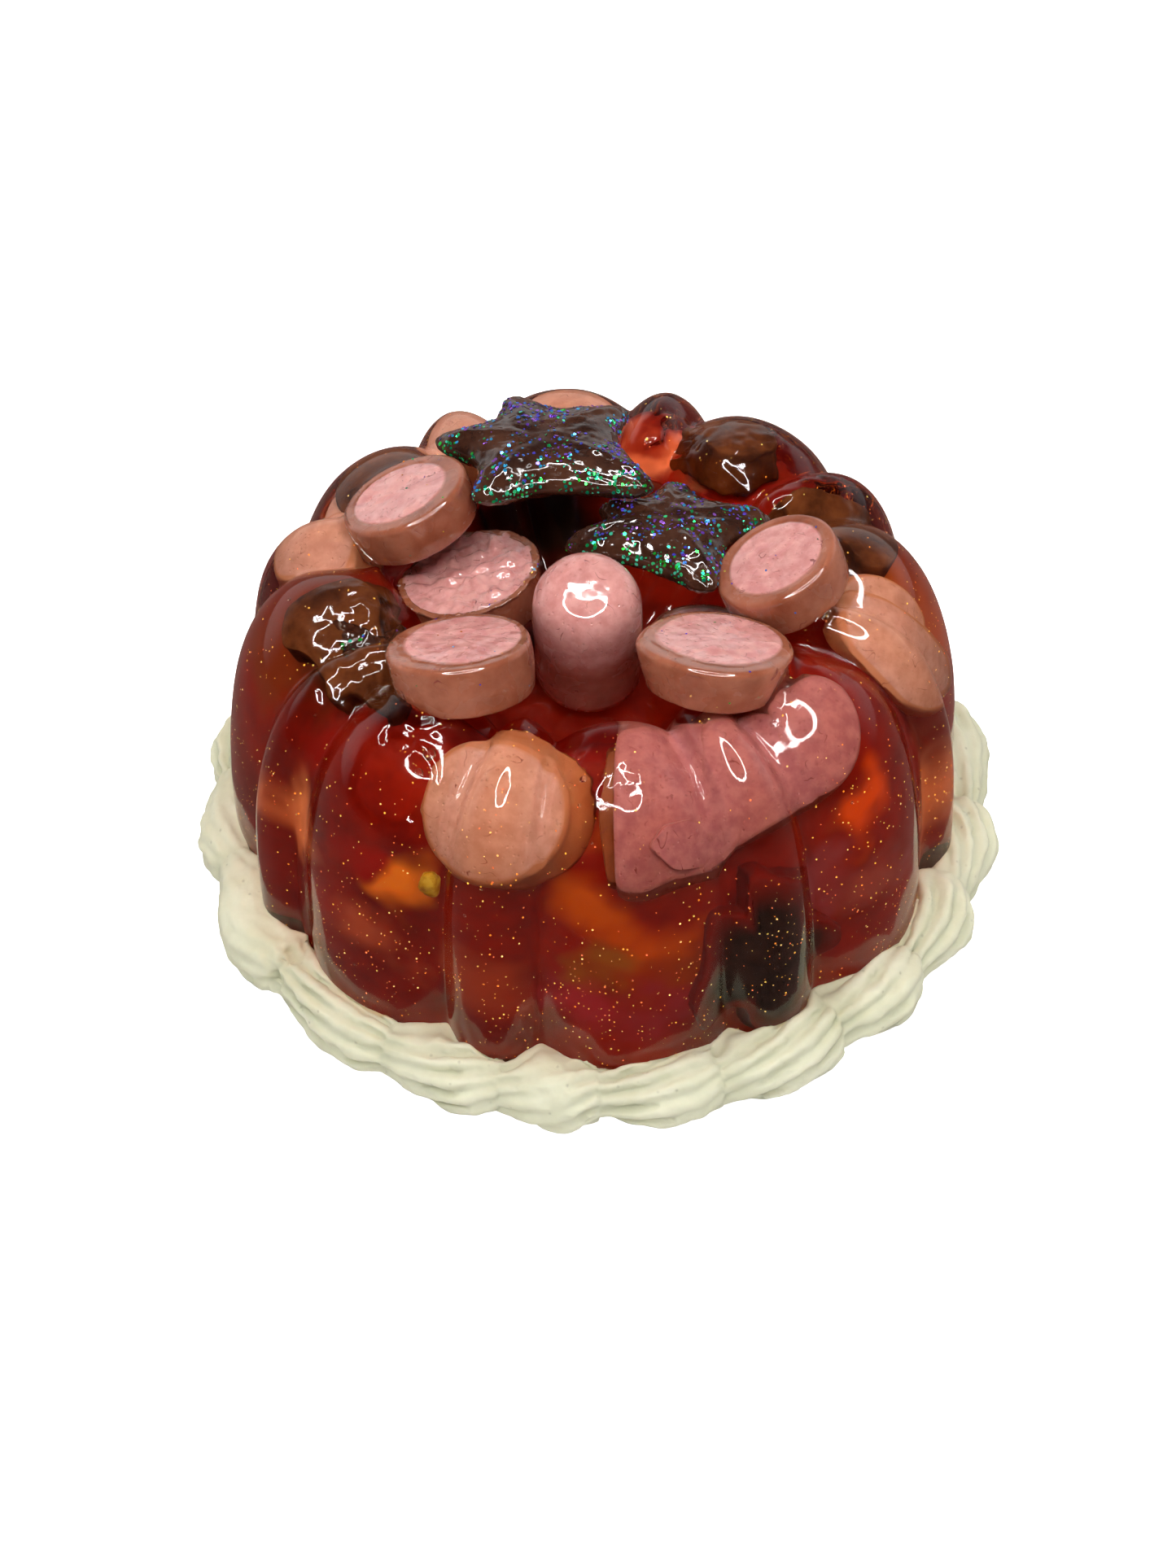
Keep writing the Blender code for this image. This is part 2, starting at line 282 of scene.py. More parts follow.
# %% [markdown]
# ## The shape of the mould
# The jelly took its form from a fluted mould, so one outline and one rule for the flutes describe the
# whole skin. The values are those of the solid. The solid has a few hundred faces on purpose. Here the
# same rule is followed with far more points, so that gloss and refraction run smoothly over the lobes.

# %% The outline and the flutes
FOOT_RADIUS, HEIGHT, CREST_RADIUS = 0.0580, 0.0538, 0.0312
WELL_FLOOR_HEIGHT, WELL_FLOOR_RADIUS = 0.0320, 0.0090
WALL_ROUNDNESS, SHOULDER_ROUNDNESS, WELL_ROUNDNESS = 0.60, 0.80, 0.85
PAIR_ANGLE = math.tau / 8
WIDE_FLUTE_ANGLE = math.radians(29.5)
NARROW_FLUTE_ANGLE = PAIR_ANGLE - WIDE_FLUTE_ANGLE
FLUTE_TURN = math.radians(4.8)
FLUTE_DEPTH = 0.0039
WELL_FLUTE_SHARE = 0.45
VALLEY_SOFTNESS = 0.05


def flute_cut(angle):
    """How far the skin lies inside the ridges at each angle. The valleys are a little rounded."""
    along = np.mod(angle - FLUTE_TURN + WIDE_FLUTE_ANGLE / 2, PAIR_ANGLE)
    wide = along < WIDE_FLUTE_ANGLE
    across = np.where(wide, 2 * along / WIDE_FLUTE_ANGLE - 1,
                      2 * (along - WIDE_FLUTE_ANGLE) / NARROW_FLUTE_ANGLE - 1)
    across = 1 - np.sqrt((1 - np.abs(across)) ** 2 + VALLEY_SOFTNESS ** 2) + VALLEY_SOFTNESS * 0.6
    return FLUTE_DEPTH * np.clip(across, 0, 1) ** np.where(wide, 2.3, 2.0)


def ridge_outline(outer_steps, inner_steps):
    """Radius, height, share of the flutes' depth and slope, from the foot over the crest into the well."""
    slope = np.linspace(0, math.pi / 2, outer_steps)
    radius = CREST_RADIUS + (FOOT_RADIUS - CREST_RADIUS) * np.cos(slope).clip(0) ** WALL_ROUNDNESS
    height = HEIGHT * np.sin(slope) ** SHOULDER_ROUNDNESS
    inner = np.linspace(0, math.pi / 2, inner_steps + 1)[1:]
    opening = np.cos(inner).clip(0) ** WELL_ROUNDNESS
    inner_radius = WELL_FLOOR_RADIUS + (CREST_RADIUS - WELL_FLOOR_RADIUS) * opening
    inner_height = WELL_FLOOR_HEIGHT + (HEIGHT - WELL_FLOOR_HEIGHT) * (1 - np.sin(inner) ** 2).clip(0) ** 0.75
    inner_share = 1 - (1 - WELL_FLUTE_SHARE) * np.arange(1, inner_steps + 1) / inner_steps
    return (np.r_[radius, inner_radius], np.r_[height, inner_height],
            np.r_[np.ones(outer_steps), inner_share], np.r_[slope, math.pi / 2 + inner])


def mould_rows(outer_steps, inner_steps, columns, inset=0.0, flutes=1.0):
    """Rows of points over the mould's form. inset moves them in, square to the outline."""
    radius, height, share, slope = (v[:, None] for v in ridge_outline(outer_steps, inner_steps))
    angle = np.arange(columns)[None] * math.tau / columns
    cut = share * flute_cut(angle) * flutes + inset
    radius = radius - cut * np.cos(slope)
    height = height - cut * np.sin(slope)
    return np.stack([radius * np.sin(angle), -radius * np.cos(angle), height + 0 * angle], -1)


def outward(rows):
    """The direction square to the surface at each point of rows that run round the middle."""
    along = np.gradient(rows, axis=0)
    around = np.roll(rows, -1, 1) - np.roll(rows, 1, 1)
    square = np.cross(around, along)
    return square / np.linalg.norm(square, axis=-1, keepdims=True).clip(1e-12)


def soften_crest(rows, crest, reach, rounds):
    """Rounds off the edge where the wall turns over into the well."""
    weight = np.exp(-((np.arange(len(rows)) - crest) / reach) ** 2)[:, None, None]
    weight[0] = weight[-1] = 0
    for _ in range(rounds):
        around_it = (np.roll(rows, 1, 0) + np.roll(rows, -1, 0)) / 2
        rows = rows + 0.5 * weight * (around_it - rows)
    return rows


skin_rows = soften_crest(mould_rows(96, 44, 592), 96, 14, 60)
print("skin points:", skin_rows.shape, "top of the crest:", round(skin_rows[..., 2].max() / MM, 1), "mm")

# %% [markdown]
# ## What stands in the well
# The slices, the domed sausage end and the stars are solids of their own, so their places are fixed.
# The lists below repeat them: the middle of the upper face, the way it faces, radius, thickness and
# how far the foot draws in. A few words more say how each real slice was cut: where its pink core
# sits, which side is pulled to a corner, and how far its foot leans.

# %% Places of the pieces
SLICES = {
    "slice_left_back": dict(
        centre=(-27.5, 14.2, 57.0), faces=(-0.33, 0.15, 0.93), radius=10.0, thick=6.8, foot=0.96,
        core_shift=(-0.6, 0.3), core=0.74, crumple=0.0),
    "slice_left_low": dict(
        centre=(-18.1, 5.4, 48.2), faces=(-0.17, 0.12, 0.98), radius=10.6, thick=6.6, foot=0.97,
        core_shift=(0.0, 0.0), core=0.955, crumple=0.95),
    "slice_left_front": dict(
        centre=(-18.8, -18.4, 57.0), faces=(-0.05, 0.36, 0.93), radius=10.4, thick=7.6, foot=0.95,
        core_shift=(0.7, 1.0), core=0.80, lean=(0.5, -0.3), crumple=0.1),
    "slice_right_front": dict(
        centre=(17.8, -20.2, 57.0), faces=(0.11, 0.34, 0.93), radius=10.8, thick=7.2, foot=0.84,
        core_shift=(0.6, 1.3), core=0.80, corner=(190, 0.08), crumple=0.0),
    "slice_right_back": dict(
        centre=(27.0, -3.7, 57.2), faces=(-0.40, 0.04, 0.91), radius=9.4, thick=7.0, foot=0.98,
        core_shift=(0.2, 0.2), core=0.76, crumple=0.0),
    "slice_well": dict(
        centre=(16.8, -5.2, 44.8), faces=(0.05, 0.20, 0.98), radius=8.0, thick=6.6, foot=0.97,
        core_shift=(0.0, 0.0), core=0.80, crumple=0.2),
}
SAUSAGE_END = dict(tip=(-0.4, -9.3, 58.8), faces=(0.0, -0.24, 0.97), radius=8.1, length=23.0)
STARS = {
    "star_back": dict(
        centre=(-6.2, 20.5, 59.0), faces=(0, 0.10, 1), half=3.0, droop=1.2, rough=0.28,
        points=((108, 17.0), (41, 17.8), (-31, 20.0), (-131, 16.0), (164, 18.0))),
    "star_front": dict(
        centre=(11.8, 7.2, 54.0), faces=(0, 0.08, 1), half=2.7, droop=1.0, rough=0.34,
        points=((79, 12.5), (10, 16.8), (-67, 15.8), (-171, 16.2), (146, 12.0))),
    "star_left": dict(
        centre=(-29.8, -12.0, 46.2), faces=(0.50, 0.08, 0.87), half=2.5, droop=0.0, rough=1.0,
        points=((149, 11.2), (223, 11.2), (295, 9.0), (7, 8.5), (79, 9.0))),
}


def facing(direction):
    """The turn that takes +Z to a direction, as a 3 by 3 array."""
    turn = Vector((0, 0, 1)).rotation_difference(Vector(direction).normalized())
    return np.array(turn.to_matrix())


print(len(SLICES), "slices,", len(STARS), "stars and a sausage end stand in the well")

# %% [markdown]
# ## The jelly's skin
# A turned-out jelly is not as true as its mould. The skin here starts from the mould's rows and is
# then pushed along its own normals: a slow waviness, fine crinkles where it has dried over something
# just below, shallow dents, and a small rim of jelly that climbs each slice, as any liquid does before
# it sets. Air bubbles are part of the same surface, turned inside out, because light leaves the jelly
# at a bubble in just the way that it does at the skin.

# %% Waves, crinkles and dents in the skin
CRINKLES = (  # middle, reach, height, all in millimetres
    ((1, -41, 53), 9, 0.42), ((9, -41, 51), 8, 0.42), ((-8, -33, 53), 6, 0.34), ((-25, -31, 53), 6, 0.40),
    ((-34, -8, 52), 9, 0.80), ((-34, -20, 52), 9, 0.80), ((16, 32, 52), 7, 0.60), ((27, 27, 52), 8, 0.60),
    ((36, 16, 52), 8, 0.60), ((24, -32, 52), 7, 0.25), ((33, -24, 52), 5, 0.30), ((-14, -42, 52), 7, 0.12),
    ((26, 15, 49), 7, 0.35), ((13, 31, 50), 7, 0.70),
)
DENTS = (  # middle, reach, depth, all in millimetres
    ((-28.5, -37.3, 49.8), 6.6, 0.45), ((-24.0, -40.0, 47.0), 3.0, 0.30), ((-27.0, -32.0, 52.0), 3.0, 0.35),
)
RIM_HEIGHT, RIM_REACH = 0.0009, 0.0011


def push_of_skin(points):
    """How far each point of the skin moves out, in metres."""
    push = 0.00020 * lumps(points, 0.016) + 0.00002 * lumps(points, 0.0045, 7.0)
    fine = 0.55 * np.abs(lumps(points, 0.0026, 3.0)) + 0.6 * lumps(points, 0.0048, 11.0)
    fine += 0.3 * lumps(points, 0.0016, 15.0)
    for middle, reach, height in CRINKLES:
        far = np.linalg.norm(points - mm(*middle), axis=-1)
        push += height * MM * (1 - ease(far, 0.45 * reach * MM, reach * MM)) * fine
    for middle, reach, depth in DENTS:
        far = np.linalg.norm(points - mm(*middle), axis=-1) * (1 + 0.16 * lumps(points, 0.004, 5.0))
        push -= depth * MM * (1 - ease(far, 0.86 * reach * MM, reach * MM))
    return push


def climb_of_rim(points):
    """The rim of jelly that climbs the sides of whatever breaks the skin."""
    climb = np.zeros(points.shape[:-1])
    end = dict(SAUSAGE_END, centre=SAUSAGE_END["tip"], thick=SAUSAGE_END["length"])
    for piece in [*SLICES.values(), end]:
        local = (points - mm(*piece["centre"])) @ facing(piece["faces"])
        beyond = np.hypot(local[..., 0], local[..., 1]) - piece["radius"] * MM
        level = (local[..., 2] > -piece["thick"] * MM) & (local[..., 2] < 0)
        climb = np.maximum(climb, np.where(level & (beyond > -0.001), np.exp(-np.abs(beyond) / RIM_REACH), 0))
    return RIM_HEIGHT * climb


def settle(rows):
    """The well's floor closed with shrinking rings, so that the skin ends in a point."""
    floor = rows[-1]
    middle = floor.mean(0)
    return np.concatenate([rows, [middle + (floor - middle) * share for share in (0.75, 0.5, 0.25, 0.02)]])


skin_rows = settle(skin_rows)
skin_out = outward(skin_rows)
skin_rows = skin_rows + skin_out * (push_of_skin(skin_rows) + climb_of_rim(skin_rows))[..., None]
skin_rows[0, :, 2] = 0
skin_rows[..., 2] = np.clip(skin_rows[..., 2], 0, None)
print("highest point of the skin:", round(skin_rows[..., 2].max() / MM, 2), "mm")

# %% Air bubbles
def ball(centre, radius, rings=8, columns=14):
    """Points and quads of a small round hollow. Its faces look inwards."""
    turn = np.linspace(0, math.pi, rings + 1)[1:-1, None]
    around = np.arange(columns)[None] * math.tau / columns
    rows = np.stack([
        np.sin(turn) * np.cos(around), np.sin(turn) * np.sin(around), np.cos(turn) + 0 * around], -1)
    points = np.concatenate([rows.reshape(-1, 3), [(0, 0, 1), (0, 0, -1)]]) * radius + centre
    faces = grid_faces(rings - 1, columns)
    top, foot, last = len(points) - 2, len(points) - 1, (rings - 2) * columns
    for j in range(columns):
        k = (j + 1) % columns
        faces.append([top, k, j])
        faces.append([foot, last + j, last + k])
    return points, [face[::-1] for face in faces]


BUBBLES = (  # middle and radius in millimetres
    ((-7.9, -46.6, 42.6), 1.05), ((-13.7, -46.9, 42.0), 0.55), ((30.5, -29.5, 49.6), 0.95),
    ((27.4, -31.0, 49.2), 0.55), ((-23.0, -33.5, 49.9), 0.8), ((-21.5, -34.6, 49.0), 0.5),
    ((-24.5, -35.4, 48.3), 0.6), ((2.6, -43.0, 49.4), 0.6), ((14.0, -48.0, 41.0), 0.5),
    ((-33.0, -15.0, 50.2), 0.6), ((20.0, 28.0, 50.5), 0.6), ((-1.5, -40.0, 50.5), 0.5),
)
draw = random.Random(3)
skin_points = skin_rows.reshape(-1, 3)
bubble_parts = [ball(mm(*middle), radius * MM) for middle, radius in BUBBLES]
for _ in range(70):
    row, column = draw.randrange(8, 84), draw.randrange(skin_rows.shape[1])
    at = skin_rows[row, column] - skin_out[row, column] * draw.uniform(0.0012, 0.0045)
    bubble_parts.append(ball(at, draw.uniform(0.00010, 0.00028), 5, 8))
print(len(bubble_parts), "bubbles")

# %% [markdown]
# ## The finish of the jelly
# Jelly is a clear, coloured solid. The shader is glass-like with the refraction of water and sugar, and
# the colour comes from a volume that swallows blue first and then green: thin parts look amber, thick
# parts deep red. Light has to reach what is sunk in it, so for lamp rays only, a tinted transparent
# shader takes the glass's place. Ripples in the wet skin come from the shared film group.

# %% Jelly material
JELLY_COLOUR, JELLY_DENSITY = (0.92, 0.55, 0.14, 1.0), 95.0
jelly_finish, tree, shader, here = new_finish(
    "amber_jelly", IOR=1.46, Transmission_Weight=1.0, Base_Color=(1.0, 0.96, 0.92, 1.0),
    Specular_Tint=(0.95, 0.90, 0.90, 1.0))
film = use_group(tree, wet_film, {"Place": here, "Scale": 70.0, "Cover": 0.55, "Dry": 0.12, "Wet": 0.09})
fill(shader, {"Roughness": film["Roughness"]})
roughen(tree, shader, film["Height"], 0.02, 0.0003)
lamp_rays = place(tree, "LightPath").outputs["Is Shadow Ray"]
let_through = place(tree, "BsdfTransparent", {"Color": (0.93, 0.80, 0.68, 1.0)})
both = place(tree, "MixShader", {0: lamp_rays, 1: shader.outputs[0], 2: let_through.outputs[0]})
depth = place(tree, "VolumeAbsorption", {"Color": JELLY_COLOUR, "Density": JELLY_DENSITY})
fill(tree.nodes["Material Output"], {"Surface": both.outputs[0], "Volume": depth.outputs[0]})
swallowed = 1 - math.exp(-JELLY_DENSITY * (1 - JELLY_COLOUR[1]) * 10 * MM)
print("jelly swallows", round(swallowed * 100), "% of the green over 10 mm")

# %% The skin and its bubbles as one piece
columns = skin_rows.shape[1]
faces = closed_faces(len(skin_rows), columns)
points = [skin_points]
offset = len(skin_points)
for more_points, more_faces in bubble_parts:
    points.append(more_points)
    faces += [[index + offset for index in face] for face in more_faces]
    offset += len(more_points)
jelly = new_piece("jelly", np.concatenate(points), faces, jelly_finish, ["jelly_body"])
skin_tree = BVHTree.FromPolygons(skin_points.tolist(), faces[:(len(skin_rows) - 1) * columns])
print("jelly:", len(jelly.data.polygons), "faces")


def tuck_under(points, least):
    """Moves any point that would break the skin back to that depth under it, and says how many it moved."""
    moved = 0
    tucked = np.array(points, float).reshape(-1, 3)
    for index, point in enumerate(tucked.tolist()):
        nearest, square, _, _ = skin_tree.find_nearest(Vector(point))
        if (nearest - Vector(point)).dot(square) < least:
            tucked[index] = nearest - square * least
            moved += 1
    return tucked.reshape(np.shape(points)), moved


# %% [markdown]
# ## Pieces that lie against the skin
# What was put in the mould first lies against its wall, so its face follows the wall a millimetre or
# two down. Such a piece is drawn as an outline on a plane that touches the skin. The outline is
# filled with rings, each point is dropped along the plane's direction onto a smoother copy of the
# mould, and the sides then run straight in. Meat is too stiff to follow every flute, so a share named
# calm draws the face towards one even, slightly bent sheet.

# %% How a piece is pressed against the wall
WALL_FLUTES, WALL_COLUMNS = 0.72, 360
AIM_FROM = 0.03
wall_rows = settle(mould_rows(72, 36, WALL_COLUMNS, flutes=WALL_FLUTES))
wall_out = outward(wall_rows)
wall_tree = BVHTree.FromPolygons(wall_rows.reshape(-1, 3).tolist(), grid_faces(len(wall_rows), WALL_COLUMNS))


def outline_through(corners, softness, count=112):
    """A closed outline through given corners, its corners rounded by a running mean."""
    corners = np.array(corners, float)
    marks = np.r_[0, np.cumsum(np.linalg.norm(np.roll(corners, -1, 0) - corners, axis=1))]
    along = np.linspace(0, marks[-1], count, endpoint=False)
    loop = np.stack([np.interp(along, marks, np.r_[corners[:, k], corners[0, k]]) for k in (0, 1)], -1)
    shifts = np.arange(-count // 2, count // 2)
    weights = np.exp(-(shifts * marks[-1] / count / softness) ** 2)
    weights /= weights.sum()
    return sum(w * np.roll(loop, -shift, 0) for w, shift in zip(weights, shifts.tolist()) if w > 1e-5)


def round_outline(across, up):
    """Corners of an oval, to be rounded by outline_through."""
    return [(across * math.cos(t), up * math.sin(t)) for t in np.arange(14) * math.tau / 14]


def pressed_rows(middle, look, corners, cover, thick, softness=2.4, edge=0.9, core=0.86, fade=0.015,
                 lean=(0, 0), seed=0.0, relief=0.08, relief_size=2.2, calm=0.0):
    """Rings of a piece under the skin, from the middle of its face to that of its foot, with core values."""
    look = unit(look)
    across = unit((-look[1], look[0], 0))
    upward = np.cross(look, across)
    outline = outline_through(corners, softness)
    hub = outline.mean(0)
    profile = [(share, 0.0, 1.0 - float(ease(share, core - fade, core + fade)))
               for share in np.linspace(0.02, 0.93, 26)]
    profile += [(0.93 + 0.07 * math.sin(t), edge * (1 - math.cos(t)), 0.0)
                for t in np.linspace(0.25, math.pi / 2, 6)]
    rows, squares = [], []
    for share, _, _ in profile:
        for u, v in hub + (outline - hub) * share:
            start = mm(*middle) + (across * u + upward * v) * MM + look * AIM_FROM
            hit, _, index, _ = wall_tree.ray_cast(Vector(start), Vector(-look))
            if hit is None:
                hit, _, index, _ = wall_tree.find_nearest(Vector(start - look * AIM_FROM))
            rows.append(hit[:])
            squares.append(wall_out[divmod(index, WALL_COLUMNS)])
    rows = np.array(rows).reshape(len(profile), -1, 3)
    squares = np.array(squares).reshape(rows.shape)
    u, v, depth = (((rows - mm(*middle)) @ way).ravel() / MM for way in (across, upward, look))
    terms = np.stack([u ** 0, u, v, u * u, u * v, v * v], -1)
    even = terms @ np.linalg.lstsq(terms, depth, rcond=None)[0]
    rows += look * (calm * (even - depth)).reshape(rows.shape[:2])[..., None] * MM
    squares = squares * (1 - calm) + look * calm
    rows -= squares * (cover + np.array([drop for _, drop, _ in profile]))[:, None, None] * MM
    sway = across * lean[0] + upward * lean[1]
    sides = [rows[-1] - look * thick * share * MM + sway * share * MM for share in np.linspace(0.12, 1.0, 10)]
    foot = sides[-1]
    caps = [foot.mean(0) + (foot - foot.mean(0)) * share for share in (0.8, 0.5, 0.02)]
    rows = np.concatenate([rows, sides, caps])
    rows = rows + look * (relief * MM * lumps(rows, relief_size * MM, seed))[..., None]
    values = np.zeros(rows.shape[:2])
    values[:len(profile)] = np.array([value for *_, value in profile])[:, None]
    return rows, values


print("wall form:", wall_rows.shape)

# %% [markdown]
# ## The cloudy middle
# Nobody can see right through this jelly: dark toppings and cloudy layers fill its middle, and glow
# amber, crimson, magenta or green where light gets through. A true cloudy volume would take hours to
# render, so the middle is a soft lumpy body well under the skin. Its colour is built from round soft
# spots, each from one group placed with its own middle, reach and colour: partly the layers' own
# colour, partly painted glow where light gets through, and near-black painted shade under the stars
# and in the well. The body also glows faintly in that colour, painted light from something that is
# no lamp.

# %% Group for one soft spot of colour
soft_spot, get, put = open_group(
    "soft spot",
    {"Place": (0, 0, 0), "Middle": (0, 0, 0), "Reach": 0.01, "Under": (0, 0, 0, 1), "Colour": (1, 1, 1, 1)},
    {"Colour": "Color"})
gap = place(soft_spot, "VectorMath", {0: get["Place"], 1: get["Middle"]}, operation="DISTANCE")
gap = sums(soft_spot, "DIVIDE", gap.outputs["Value"], get["Reach"])
share = ramp(soft_spot, gap, 0.25, 1.0, 1.0, 0.0)
soft_spot.links.new(mix_colours(soft_spot, share, get["Under"], get["Colour"]), put["Colour"])

# %% Material of the cloudy middle, with painted glow and painted shade
# Spots: partly the cloudy layers' own colour, partly painted glow where light gets through; the near-black
# ones are painted shade under the stars and in the well.
CLOUD_GLOW_AND_SHADE_SPOTS = (  # middle and reach in millimetres, colour
    ((-28, -39, 31), 8, (255, 160, 50)), ((-2, -49, 32), 8, (205, 96, 4)), ((6, -49, 27), 9, (196, 88, 4)),
    ((10, -46, 22), 7, (150, 60, 6)), ((37, -30, 34), 8, (240, 96, 4)), ((33, -37, 42), 6, (120, 60, 24)),
    ((-2, -49, 15), 8, (160, 40, 66)), ((1, -49, 23), 7, (150, 96, 30)), ((-32, -35, 34), 6, (150, 6, 0)),
    ((8, -50, 15), 8, (150, 40, 60)), ((33, -39, 24), 9, (150, 72, 92)), ((-41, -23, 41), 7, (130, 4, 0)),
    ((-43, -22, 27), 10, (240, 166, 126)), ((-18, -47, 18), 10, (156, 66, 44)),
    ((3, -42, 44), 5, (170, 80, 22)), ((-44, -2, 42), 13, (126, 58, 26)), ((21, 33, 45), 7, (110, 66, 44)),
    ((41, 8, 43), 10, (190, 100, 36)), ((12, 36, 43), 6, (232, 140, 110)), ((24, -46, 14), 9, (56, 34, 20)),
    ((-32, -37, 18), 8, (180, 96, 74)), ((38, -31, 21), 8, (160, 84, 90)), ((-31, 30, 44), 12, (130, 86, 56)),
    ((48, 6, 30), 12, (190, 110, 80)), ((43, -9, 14), 14, (255, 200, 176)), ((48, -11, 31), 8, (150, 66, 50)),
    ((0, -26, 46), 12, (124, 0, 0)), ((-7, 29, 37), 17, (5, 1, 1)), ((-18, 27, 36), 11, (8, 2, 1)),
    ((0, 48, 26), 18, (140, 60, 30)), ((-40, 34, 20), 16, (130, 54, 40)), ((40, 36, 20), 16, (140, 64, 36)),
    ((-2, 6, 32), 16, (16, 2, 1)), ((0, 17, 42), 11, (6, 2, 1)), ((-20, -24, 44), 8, (104, 4, 0)),
    ((-36, -12, 44), 9, (80, 44, 26)), ((22, 18, 44), 7, (150, 20, 4)), ((-22, 12, 40), 9, (70, 6, 2)),
)
# The emission is painted glow: the middle shines faintly in its own colour though it is no lamp.
heart_finish, tree, shader, here = new_finish("cloudy_middle_painted_glow", Roughness=0.6, Emission_Strength=0.20)
colour = mottled(tree, here, 70.0, (100, 0, 0), (150, 24, 0), 0.22)
wander = place(tree, "TexNoise", {"Vector": here, "Scale": 95.0, "Detail": 2.0}).outputs["Color"]
wander = place(tree, "VectorMath", {0: wander, 1: (0.5, 0.5, 0.5)}, operation="SUBTRACT").outputs[0]
wander = place(tree, "VectorMath", {0: wander, "Scale": 0.016}, operation="SCALE").outputs[0]
somewhere = place(tree, "VectorMath", {0: here, 1: wander}, operation="ADD").outputs[0]
for middle, reach, tint in CLOUD_GLOW_AND_SHADE_SPOTS:
    colour = use_group(tree, soft_spot, {
        "Place": somewhere, "Middle": mm(*middle), "Reach": reach * MM, "Under": colour,
        "Colour": srgb(*tint)})["Colour"]
fill(shader, {"Base Color": colour, "Emission Color": colour})
print(len(CLOUD_GLOW_AND_SHADE_SPOTS), "soft spots of colour")

# %% The cloudy middle
HEART_DEPTH, HEART_COLUMNS = 0.0088, 208
heart_rows = settle(mould_rows(56, 24, HEART_COLUMNS, inset=HEART_DEPTH, flutes=0.45))
heart_rows = heart_rows + outward(heart_rows) * (0.0011 * lumps(heart_rows, 0.011, 20.0))[..., None]
heart_rows[..., 2] = np.clip(heart_rows[..., 2], 0.0015, None)
new_piece("cloudy_middle_painted_glow", heart_rows, closed_faces(len(heart_rows), HEART_COLUMNS), heart_finish)

# %% [markdown]
# ## Sausage slices
# Each slice has a pale pink cut face, mottled and pitted, inside a tan casing that is smooth and wet.
# A turned shape alone looks machined, so every ring of points wobbles a little, the core sits off
# centre, one side may be pulled to a corner and the foot may lean. The rings also carry a value named
# core, 1 on the cut meat and 0 on the casing, which the material reads to choose its colours.

# %% Sausage material
def sausage_material(name, meat_colours, casing_colours, wet_roughness=0.14, glazed=True):
    """Pink cut meat and tan casing. Under the jelly's skin the glaze is missing, so the coat is too."""
    finish, tree, shader, here = new_finish(
        name, Coat_Roughness=0.08, IOR=1.45, Specular_IOR_Level=0.3, Subsurface_Weight=0.25,
        Subsurface_Radius=(1.0, 0.35, 0.25), Subsurface_Scale=0.0016)
    core = kept(tree, "core")
    colour = mix_colours(tree, core, mottled(tree, here, 160.0, *casing_colours, 0.25),
                         mottled(tree, here, 420.0, *meat_colours, 0.2))
    strokes = place(tree, "TexNoise", {"Vector": here, "Scale": 260.0, "Detail": 1.5, "Distortion": 0.4})
    from_middle = sums(tree, "ABSOLUTE", sums(tree, "SUBTRACT", strokes.outputs[0], 0.5))
    places = place(tree, "TexNoise", {"Vector": here, "Scale": 520.0, "Detail": 0.0})
    crack = sums(tree, "MULTIPLY", ramp(tree, from_middle, 0.0, 0.007, 1.0, 0.0),
                 ramp(tree, places.outputs[0], 0.58, 0.64))
    colour = mix_colours(tree, sums(tree, "MULTIPLY", crack, 0.75), colour, srgb(120, 46, 48))
    film = use_group(tree, wet_film, {
        "Place": here, "Scale": 190.0, "Cover": 0.56, "Dry": 0.55, "Wet": wet_roughness})
    fill(shader, {"Base Color": colour, "Roughness": film["Roughness"]})
    if glazed:
        wetter = sums(tree, "ADD", ramp(tree, core, 0.0, 1.0, 0.95, 0.12), kept(tree, "glaze"), clamp=True)
        patches = sums(tree, "MULTIPLY", film["Coat"], 0.75)
        fill(shader, {"Coat Weight": sums(tree, "ADD", wetter, patches, clamp=True)})
    pores = use_group(tree, pits, {"Place": here, "Scale": 1500.0, "Size": 0.42, "Share": 0.3})
    height = sums(tree, "ADD", sums(tree, "MULTIPLY", pores["Height"], sums(tree, "ADD", core, 0.15)),
                  sums(tree, "MULTIPLY", crack, -1.5))
    roughen(tree, shader, height, 0.5, 0.00025)
    return finish


sausage_finish = sausage_material(
    "pink_sausage", ((208, 136, 132), (230, 168, 160)), ((140, 74, 50), (178, 108, 82)))
end_finish = sausage_material(
    "pale_sausage_end", ((206, 136, 130), (226, 162, 154)), ((150, 80, 58), (184, 112, 90)))
peach_finish = sausage_material(
    "sunk_peach_slice", ((196, 144, 128), (214, 164, 148)), ((184, 118, 88), (202, 138, 106)), 0.4, False)
mauve_finish = sausage_material(
    "sunk_mauve_sausage", ((166, 98, 102), (190, 120, 120)), ((126, 64, 34), (150, 80, 48)), 0.4, False)
print("finishes:", ", ".join(f.name for f in (sausage_finish, end_finish, peach_finish, mauve_finish)))

# %% How a slice is built
SLICE_COLUMNS = 112


